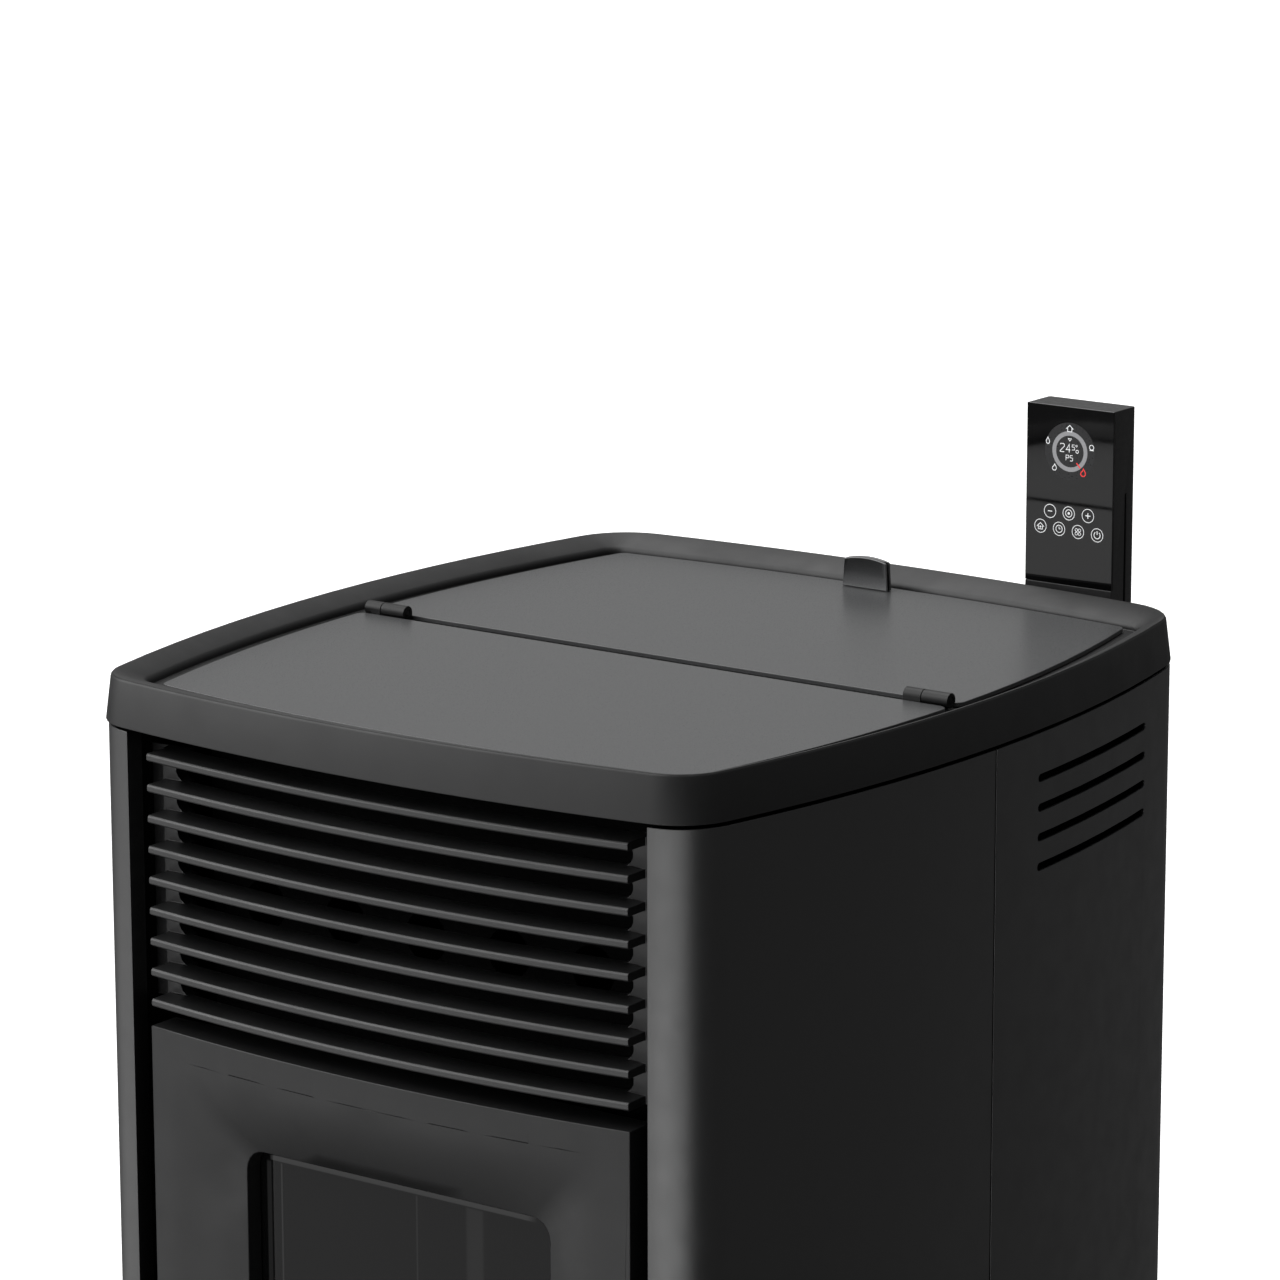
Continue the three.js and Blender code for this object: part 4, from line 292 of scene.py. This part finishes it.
def painted_sheet(name, colour, roughness, specular, grain=2200.0, tooth=0.06):
    """Powder coat on sheet steel: an even fine texture with a faint swell."""
    s = Shader(name, colour, roughness, specular=specular)
    s.shades(s.noise(6.0, 3.0), scaled(colour, 0.9), scaled(colour, 1.1))
    s.rough(s.noise(60.0, 2.0), roughness - 0.03, roughness + 0.03)
    s.bumps((s.noise(grain, 3.0, 0.55), 0.6, tooth))
    return s.material


def grained_sheet(name, colour, roughness, specular):
    """Textured anthracite coat with light and dark specks."""
    s = Shader(name, colour, roughness, specular=specular)
    speck = s.noise(2400.0, 2.0, 0.5)
    s.shades(speck, scaled(colour, 0.75), scaled(colour, 1.25))
    s.rough(s.noise(1600.0, 2.0), roughness - 0.04, roughness + 0.04)
    s.bumps((s.noise(2600.0, 2.0, 0.5), 0.5, 0.05))
    return s.material


def brushed(name, colour, roughness, along=(1.0, 1.0, 40.0)):
    s = Shader(name, colour, roughness, 1.0)
    lines = s.noise(60.0, 4.0, 0.7, s.stretched(along))
    s.shades(lines, scaled(colour, 0.8), scaled(colour, 1.1))
    s.rough(lines, roughness - 0.07, roughness + 0.1)
    s.bumps((lines, 0.15, 0.05))
    return s.material


def moulded(name, colour, roughness):
    s = Shader(name, colour, roughness)
    s.shades(s.noise(25.0, 2.0), scaled(colour, 0.9), scaled(colour, 1.1))
    s.rough(s.noise(300.0, 3.0), roughness - 0.05, roughness + 0.05)
    s.bumps((s.noise(2600.0, 2.0), 0.35, 0.04))
    return s.material


def dark_glass(name, colour, alpha, specular, coat=0.0):
    """Smoked glass with faint smears."""
    s = Shader(name, colour, 0.05, specular=specular)
    s.rough(s.noise(22.0, 4.0, 0.7), 0.02, 0.06)
    s.set("Alpha", alpha)
    s.set("IOR", 1.5)
    s.set("Coat Weight", coat)
    return s


def banded(s, axis, bands):
    """Sum of soft bands along one axis, each (middle, half width, soft edge, strength) in mm."""
    total = None
    for middle, half, soft, strength in bands:
        away = s.maths("ABSOLUTE", s.maths("SUBTRACT", axis, middle * MM))
        band = s.between(away, half * MM, (half + soft) * MM, strength, 0.0, smooth=True)
        total = s.maths("ADD", total, band) if total else band
    return total


# Painted light on the window, in mm: faint glowing upright lines and a painted reflection strip under the
# top edge; the uprights and the strip's ends from the window's middle
WINDOW_TOP = 795.8  # over the floor
PAINTED_UPRIGHT_LINES = [
    (-98.7, 0.35, 0.5, 0.020),
    (6.2, 0.3, 0.5, 0.014),
    (50.0, 5.0, 2.5, 0.010),
    (-108.5, 1.2, 1.0, 0.012),
]
PAINTED_REFLECTION_LEFT = (-108.0, -106.0)
PAINTED_REFLECTION_RIGHT = (88.0, 98.0)
PAINTED_REFLECTION_DROP = 7.0
PAINTED_REFLECTION_BAND = (1.3, 0.5, 0.030)
PAINTED_REFLECTION_CLEAR = (2.0, 3.0)  # the uprights fade in between these depths under the strip


def window_glass(name):
    """Fire door glass with painted light: a glowing strip under its top edge as a painted reflection, and
    faint glowing upright lines as painted highlights.
    """
    s = dark_glass(name, (0.004, 0.004, 0.0042), 0.92, 0.16)
    parts = s.tree.nodes.new("ShaderNodeSeparateXYZ")
    s.link(s.place, parts.inputs[0])
    painted_uprights = banded(s, parts.outputs["X"], PAINTED_UPRIGHT_LINES)
    left, right = PAINTED_REFLECTION_LEFT, PAINTED_REFLECTION_RIGHT
    across = s.between(parts.outputs["X"], left[0] * MM, left[1] * MM, 0.0, 1.0)
    fade = s.between(parts.outputs["X"], right[0] * MM, right[1] * MM, 1.0, 0.0, smooth=True)
    across = s.maths("MULTIPLY", across, fade)
    top = WINDOW_TOP - PAINTED_REFLECTION_DROP
    painted_reflection = s.maths("MULTIPLY", across, banded(s, parts.outputs["Z"], [(top, *PAINTED_REFLECTION_BAND)]))
    start, full = PAINTED_REFLECTION_CLEAR
    under = s.between(parts.outputs["Z"], (top - full) * MM, (top - start) * MM, 1.0, 0.0)
    light = s.maths("ADD", s.maths("MULTIPLY", painted_uprights, under), painted_reflection)
    # The strip and the uprights are emission: a painted reflection and painted highlights
    s.set("Emission Color", (1.0, 1.0, 1.0, 1.0))
    s.link(light, s.main.inputs["Emission Strength"])
    return s.material


def display_glass(name):
    """Black glass that leans back by a hair, as a bonded pane does."""
    s = dark_glass(name, (0.002, 0.002, 0.0022), 1.0, 1.0)
    parts = s.tree.nodes.new("ShaderNodeSeparateXYZ")
    s.link(s.place, parts.inputs[0])
    lean = s.add("ShaderNodeBump", Strength=1.0, Distance=1.0)
    s.link(s.maths("MULTIPLY", parts.outputs["Z"], -PANE_LEAN), lean.inputs["Height"])
    s.link(lean.outputs["Normal"], s.main.inputs["Normal"])
    return s.material


def lit_mark(name, colour, glow):
    """A sign on the display, lit from behind."""
    s = Shader(name, colour, 0.3)
    fine = s.noise(800.0, 2.0)
    s.rough(fine, 0.25, 0.4)
    s.shades(fine, scaled(colour, 0.95), scaled(colour, 1.05))
    s.set("Emission Color", (*colour, 1.0))
    s.set("Emission Strength", glow)
    return s.material


def woven_rope(name, colour):
    """Braided glass rope: two crossing sets of strands."""
    s = Shader(name, colour, 0.95)
    strands = []
    for lean in (0.7, -0.7):
        turned = s.add("ShaderNodeMapping", Rotation=(lean, lean, 0.0))
        s.link(s.place, turned.inputs["Vector"])
        wave = s.add("ShaderNodeTexWave", Scale=90.0, Distortion=1.0)
        s.link(turned.outputs["Vector"], wave.inputs["Vector"])
        strands.append(wave.outputs["Fac"])
    s.shades(strands[0], scaled(colour, 0.6), scaled(colour, 1.5))
    s.bumps((strands[0], 0.7, 0.6), (strands[1], 0.7, 0.6), (s.noise(900.0), 0.4, 0.2))
    return s.material


def mineral_board(name, colour):
    s = Shader(name, colour, 0.95)
    s.shades(s.noise(120.0, 6.0, 0.75), scaled(colour, 0.65), scaled(colour, 1.2))
    s.bumps((s.noise(260.0, 6.0, 0.7), 0.8, 0.8))
    return s.material


def circuit_board(name, colour):
    s = Shader(name, colour, 0.4)
    tracks = s.add("ShaderNodeTexBrick", Scale=160.0)
    s.link(s.stretched((1.0, 1.0, 1.0)), tracks.inputs["Vector"])
    s.shades(tracks.outputs["Fac"], scaled(colour, 0.7), scaled(colour, 1.8))
    s.bumps((tracks.outputs["Fac"], 0.3, 0.1))
    return s.material


CAST = (0.010, 0.0101, 0.0104)
SHEET = (0.011, 0.0111, 0.0115)
LID = (0.062, 0.063, 0.0645)
PANE_LEAN = 0.0107  # slope

looks = {
    "cast": enamel("cast enamel", CAST, 0.46, 0.42),
    # The grille wears the casting's enamel made 1.3 times lighter, painted light, and glossier
    "slats": enamel("grille enamel", scaled(CAST, 1.3), 0.44, 0.62),
    "sheet": painted_sheet("black powder coat", SHEET, 0.36, 1.0),
    # The rear side panels wear the side panels' powder coat made 1.4 times lighter, painted light
    "rear_sheet": painted_sheet("black powder coat rear", scaled(SHEET, 1.4), 0.4, 0.9),
    # The parts inside are near black with hardly any sheen: painted shade for the dark inside of the stove
    "inner": painted_sheet("black inner sheet", (0.0025, 0.0025, 0.0026), 0.8, 0.06),
    "lid": grained_sheet("anthracite lid", LID, 0.3, 0.5),
    # The tab wears the lid's coat made 1.8 times lighter, a painted highlight, and glossier
    "tab": grained_sheet("anthracite tab", scaled(LID, 1.8), 0.35, 1.0),
    "steel": brushed("brushed steel", (0.42, 0.42, 0.43), 0.35),
    "zinc": brushed("zinc sheet", (0.33, 0.335, 0.34), 0.5, (6.0, 6.0, 6.0)),
    "dark_steel": painted_sheet("black hinge steel", (0.006, 0.006, 0.0062), 0.4, 0.3),
    "plastic": moulded("black plastic", (0.012, 0.012, 0.0125), 0.42),
    "window": window_glass("window glass"),
    "display": display_glass("display glass"),
    "rope": woven_rope("glass rope", (0.09, 0.09, 0.088)),
    "board": mineral_board("mineral board", (0.03, 0.028, 0.025)),
    "circuit": circuit_board("circuit board", (0.02, 0.12, 0.05)),
}

WORN_BY = {
    "cast": ["top_tray", "door_frame", "drawer_front", "burn_pot"],
    "slats": ["air_grille"],
    "sheet": [
        "left_side_panel", "right_side_panel", "rear_cover", "plinth_panel", "base_plate",
        "panel_bracket", "flue_outlet",
    ],
    "rear_sheet": ["left_rear_side_panel", "right_rear_side_panel"],
    "inner": [
        "left_frame_side", "right_frame_side", "glass_retainer", "ash_chamber", "firebox", "heat_exchanger",
    ],
    "lid": ["front_top_plate", "hopper_lid"],
    "tab": ["lid_tab"],
    "steel": ["latch_cam", "latch_keeper", "igniter", "auger_screw", "air_intake"],
    "zinc": [
        "ash_drawer", "hopper", "auger_tube", "smoke_fan_housing", "smoke_fan_impeller",
        "room_fan_housing", "room_fan_impeller",
    ],
    "dark_steel": [
        "lower_door_hinge", "upper_door_hinge", "door_handle", "left_lid_hinge_leaf",
        "right_lid_hinge_leaf", "left_lid_knuckle", "right_lid_knuckle",
    ],
    "plastic": [
        "foot_front_left", "foot_front_right", "foot_rear_left", "foot_rear_right", "auger_motor",
        "smoke_fan_motor", "room_fan_motor", "power_inlet", "power_switch", "panel_housing",
    ],
    "window": ["door_glass"],
    "display": ["panel_glass"],
    "rope": ["lid_gasket", "door_gasket"],
    "board": ["firebox_lining"],
    "circuit": ["control_board"],
}

# Rounding of the edges, in millimetres
EDGE = {
    "cast": 0.8, "slats": 0.6, "sheet": 0.45, "rear_sheet": 0.45, "lid": 0.5, "tab": 0.5, "plastic": 0.5,
    "board": 0.8, "window": 0.4, "display": 0.25,
}
PLAIN_EDGE = 0.3
WELD_GAP = 0.004
FLAT_ANGLE = math.radians(0.4)
EDGE_ANGLE = math.radians(32)
DOOR_EDGE_ANGLE = math.radians(60)
UNJOINED = ("door_frame", "rear_cover")


def smooth_edges(node, width):
    """Joins the imported faces again and rounds the sharp edges, all as modifiers."""
    mesh = node.data
    if "custom_normal" in mesh.attributes:
        mesh.attributes.remove(mesh.attributes["custom_normal"])
    for face in mesh.polygons:
        face.use_smooth = True
    weld = node.modifiers.new("weld", "WELD")
    weld.merge_threshold = WELD_GAP * MM
    plane = node.modifiers.new("flat faces", "DECIMATE")
    plane.decimate_type = "DISSOLVE"
    plane.angle_limit = FLAT_ANGLE
    bevel = node.modifiers.new("edges", "BEVEL")
    bevel.width = width * MM
    bevel.segments = 2
    bevel.limit_method = "ANGLE"
    bevel.angle_limit = EDGE_ANGLE
    bevel.harden_normals = True
    bevel.use_clamp_overlap = False
    bevel.miter_outer = "MITER_ARC"


def dress_nodes():
    for look, names in WORN_BY.items():
        for name in names:
            node = nodes[name]
            node.data.materials.clear()
            node.data.materials.append(looks[look])
            smooth_edges(node, EDGE.get(look, PLAIN_EDGE))
    # Joined flat faces tear round the rear cover's slots
    for name in UNJOINED:
        nodes[name].modifiers.remove(nodes[name].modifiers["flat faces"])
    nodes["door_frame"].modifiers["edges"].angle_limit = DOOR_EDGE_ANGLE


# The display: rings, digits and signs laid on its glass, in mm right of its middle and below its top
WHITE = (0.80, 0.81, 0.82)
GREY = (0.30, 0.30, 0.31)
DIM = (0.016, 0.016, 0.017)
RED = (0.55, 0.03, 0.03)
SKIN = 0.02
FINE_LINE = 0.4
LINE = 0.5
BOLD_LINE = 0.6
DIAL = (0.0, 29.4)
DISC_RADIUS = 19.0
DIAL_RING = (11.9, 2.9)  # radius, width
BUTTON_RING = (4.4, 0.45)
GLYPHS = {
    "2": [(0, 6.2), (0.6, 7), (3.4, 7), (4, 6.2), (4, 4.8), (0, 0.8), (0, 0), (4, 0)],
    "4": [(3, 0), (3, 7), (0, 2.2), (4, 2.2)],
    "5": [(4, 7), (0.4, 7), (0, 4), (3.2, 4), (4, 3.3), (4, 0.7), (3.3, 0), (0, 0)],
    "P": [(0, 0), (0, 7), (3.3, 7), (4, 6.3), (4, 4.2), (3.3, 3.5), (0, 3.5)],
}
HOUSE = [(-2.4, 0.1), (0, -2.1), (2.4, 0.1), (1.6, 0.1), (1.6, 2.1), (-1.6, 2.1), (-1.6, 0.1)]
FLAME = [
    (0.3, -2.5), (1.7, -0.2), (1.8, 1.2), (0.9, 2.3), (-0.9, 2.3), (-1.8, 1.2), (-1.4, -0.3), (-0.5, -0.9),
]
DROP = [(0, -2.2), (1.3, 0.2), (1.0, 1.6), (0, 2.1), (-1.0, 1.6), (-1.3, 0.2)]


class Marks:
    """Flat signs of one colour on the display."""

    def __init__(self, name, colour, glow, lift):
        low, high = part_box("panel_glass")
        self.name = name
        self.material = lit_mark(name.replace("_", " "), colour, glow)
        self.front = low.y - lift * MM
        self.middle = (low.x + high.x) / 2
        self.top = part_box("panel_housing")[1].z
        self.mesh = bmesh.new()

    def corner(self, x, down):
        return self.mesh.verts.new((self.middle + x * MM, self.front, self.top - down * MM))

    def ribbon(self, one, other, closed):
        """Faces between two rows of points that run side by side."""
        a = [self.corner(*p) for p in one]
        b = [self.corner(*p) for p in other]
        last = len(a) if closed else len(a) - 1
        for i in range(last):
            j = (i + 1) % len(a)
            self.mesh.faces.new((a[i], a[j], b[j], b[i]))

    def line(self, points, width, closed=False):
        """A mitred line of even width."""
        count = len(points)
        one, other = [], []
        for i, (x, y) in enumerate(points):
            ways = []
            for j, k in ((i - 1, i), (i, i + 1)):
                if closed or (j >= 0 and k < count):
                    way = Vector(points[k % count]) - Vector(points[j % count])
                    ways.append(way.normalized())
            along = (ways[0] + ways[-1]).normalized()
            across = Vector((along.y, -along.x))
            reach = width / 2 / max(0.4, along.dot(ways[0]))
            one.append((x + across.x * reach, y + across.y * reach))
            other.append((x - across.x * reach, y - across.y * reach))
        self.ribbon(one, other, closed)

    def ring(self, x, down, radius, width, start=0.0, end=360.0, steps=48):
        closed = end - start >= 360.0
        count = steps if closed else steps + 1
        angles = [math.radians(start + (end - start) * i / steps) for i in range(count)]
        outer, inner = radius + width / 2, radius - width / 2
        rows = [[(x + r * math.sin(a), down - r * math.cos(a)) for a in angles] for r in (outer, inner)]
        self.ribbon(rows[0], rows[1], closed)

    def disc(self, x, down, radius, steps=48):
        turns = [2 * math.pi * i / steps for i in range(steps)]
        rim = [(x + radius * math.sin(a), down - radius * math.cos(a)) for a in turns]
        self.mesh.faces.new([self.corner(*point) for point in rim])

    def shape(self, outline, x, down, width, scale=1.0):
        self.line([(x + px * scale, down + py * scale) for px, py in outline], width, closed=True)

    def text(self, glyphs, x, down, height, width):
        unit = height / 7
        for i, glyph in enumerate(glyphs):
            left = x + (i - (len(glyphs) - 1) / 2) * 5.9 * unit - 2 * unit
            self.line([(left + gx * unit, down + (3.5 - gy) * unit) for gx, gy in GLYPHS[glyph]], width)

    def done(self):
        bmesh.ops.recalc_face_normals(self.mesh, faces=self.mesh.faces)
        for face in self.mesh.faces:
            if face.normal.y > 0:
                face.normal_flip()
        data = bpy.data.meshes.new(self.name)
        self.mesh.to_mesh(data)
        self.mesh.free()
        data.materials.append(self.material)
        signs = bpy.data.objects.new(self.name, data)
        bpy.context.scene.collection.objects.link(signs)
        skin = signs.modifiers.new("skin", "SOLIDIFY")
        skin.thickness = SKIN * MM
        skin.offset = -1.0
        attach(signs, "control_panel")


BUTTONS = {
    "minus": (-14.4, 70.4), "mode": (-0.1, 70.4), "plus": (14.5, 70.4),
    "home_fan": (-21.6, 81.1), "clock": (-7.3, 81.5), "fan": (7.1, 81.9), "power": (21.7, 82.4),
}


def make_display():
    dim = Marks("dial_disc", DIM, 0.2, 0.04)
    dim.disc(*DIAL, DISC_RADIUS, 72)
    dim.done()
    grey = Marks("dial_ring", GREY, 0.3, 0.08)
    grey.ring(*DIAL, *DIAL_RING, steps=96)
    grey.done()
    white = Marks("display_signs", WHITE, 0.4, 0.12)
    white.text("24", -3.5, 27.3, 5.4, LINE)
    white.text("5", 2.6, 26.4, 3.4, FINE_LINE)
    white.ring(5.0, 25.2, 0.6, 0.35, steps=16)
    white.ring(5.6, 28.9, 1.0, 0.45, steps=20)
    white.text("P5", -0.3, 33.7, 3.6, FINE_LINE)
    white.line([(-1.3, 20.9), (1.1, 20.9), (-0.1, 22.5)], FINE_LINE, closed=True)
    white.shape(HOUSE, -0.3, 14.2, 0.55)
    white.shape(DROP, -16.8, 23.8, LINE)
    white.ring(16.5, 25.0, 1.6, LINE, steps=20)
    white.line([(15.1, 26.9), (18.3, 26.9)], LINE)
    white.shape(FLAME, -11.6, 40.9, LINE, 0.85)
    for x, down in BUTTONS.values():
        white.ring(x, down, *BUTTON_RING)
    x, down = BUTTONS["minus"]
    white.line([(x - 1.7, down), (x + 1.7, down)], BOLD_LINE)
    x, down = BUTTONS["plus"]
    white.line([(x - 1.9, down), (x + 1.9, down)], BOLD_LINE)
    white.line([(x, down - 1.9), (x, down + 1.9)], BOLD_LINE)
    x, down = BUTTONS["mode"]
    white.ring(x, down, 2.4, LINE, steps=28)
    white.disc(x, down, 0.9, 20)
    x, down = BUTTONS["home_fan"]
    white.shape(HOUSE, x, down, LINE)
    white.disc(x, down + 0.6, 0.7, 16)
    x, down = BUTTONS["clock"]
    white.ring(x, down, 2.4, LINE, steps=28)
    white.line([(x, down - 1.5), (x, down), (x + 1.1, down)], 0.45)
    x, down = BUTTONS["fan"]
    for px, py in ((-1.2, -1.2), (1.2, -1.2), (1.2, 1.2), (-1.2, 1.2)):
        white.ring(x + px, down + py, 0.95, FINE_LINE, steps=18)
    x, down = BUTTONS["power"]
    white.ring(x, down, 2.3, 0.55, 35, 325, 32)
    white.line([(x, down - 2.7), (x, down - 0.3)], BOLD_LINE)
    white.done()
    red = Marks("display_warmth_sign", RED, 0.9, 0.16)
    red.shape(FLAME, 10.3, 42.3, 0.7)
    red.line([(5.2, 36.4), (8.2, 39.6)], 0.9)
    red.done()


# The rear: the cover's screws and a blank rating plate with rivets, in mm from the middle and over the floor
SCREW_OUT = 186.0
SCREW_HEIGHTS = (60.0, 250.0, 480.0, 720.0, 1000.0)
SCREW_PROFILE = [
    (3.6, 0.0), (4.0, 0.5), (4.0, 1.1), (3.4, 1.8), (2.6, 2.1), (1.6, 2.2), (1.5, 1.2), (0.0, 1.0),
]
RIVET_PROFILE = [(2.0, 0.0), (2.0, 0.4), (1.6, 0.9), (0.9, 1.2), (0.0, 1.25)]
PLATE_SIZE = (62.0, 40.0, 0.8)
PLATE_MIDDLE = (90.0, 880.0)
PLATE_ROUNDING = 0.3
RIVET_INSET = 5
SEAT_GAP = 0.02


def spun(mesh, profile, x, z, back, turns=24):
    """A round head on the rear, spun from (radius, height) points."""
    rows = []
    for radius, height in profile:
        y = back + height * MM
        if radius == 0.0:
            rows.append([mesh.verts.new((x * MM, y, z * MM))])
            continue
        row = []
        for i in range(turns):
            a = 2 * math.pi * i / turns
            across, up = x + radius * math.cos(a), z + radius * math.sin(a)
            row.append(mesh.verts.new((across * MM, y, up * MM)))
        rows.append(row)
    mesh.faces.new(rows[0])
    for low, high in zip(rows, rows[1:]):
        for i in range(turns):
            j = (i + 1) % turns
            top = (high[0],) if len(high) == 1 else (high[j], high[i])
            mesh.faces.new((low[i], low[j], *top))


def placed(name, mesh, material):
    bmesh.ops.recalc_face_normals(mesh, faces=mesh.faces)
    data = bpy.data.meshes.new(name)
    mesh.to_mesh(data)
    mesh.free()
    data.materials.append(material)
    piece = bpy.data.objects.new(name, data)
    bpy.context.scene.collection.objects.link(piece)
    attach(piece, "stove_body")


def make_rear():
    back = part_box("rear_cover")[1].y + SEAT_GAP * MM
    screws = bmesh.new()
    for side in (-1, 1):
        for height in SCREW_HEIGHTS:
            spun(screws, SCREW_PROFILE, side * SCREW_OUT, height, back)
    placed("rear_screws", screws, looks["zinc"])
    plate = bmesh.new()
    wide, high, thick = PLATE_SIZE
    across, up = PLATE_MIDDLE
    bmesh.ops.create_cube(plate, size=1.0)
    for corner in plate.verts:
        x, y, z = corner.co
        corner.co = ((across + x * wide) * MM, back + (y + 0.5) * thick * MM, (up + z * high) * MM)
    bmesh.ops.bevel(plate, geom=plate.edges[:], offset=PLATE_ROUNDING * MM, segments=2, affect="EDGES")
    for side in (-1, 1):
        for end in (-1, 1):
            x = across + side * (wide / 2 - RIVET_INSET)
            z = up + end * (high / 2 - RIVET_INSET)
            spun(plate, RIVET_PROFILE, x, z, back + (thick + SEAT_GAP) * MM)
    placed("rating_plate", plate, looks["steel"])


make_camera()
make_studio()
dress_nodes()
make_display()
make_rear()
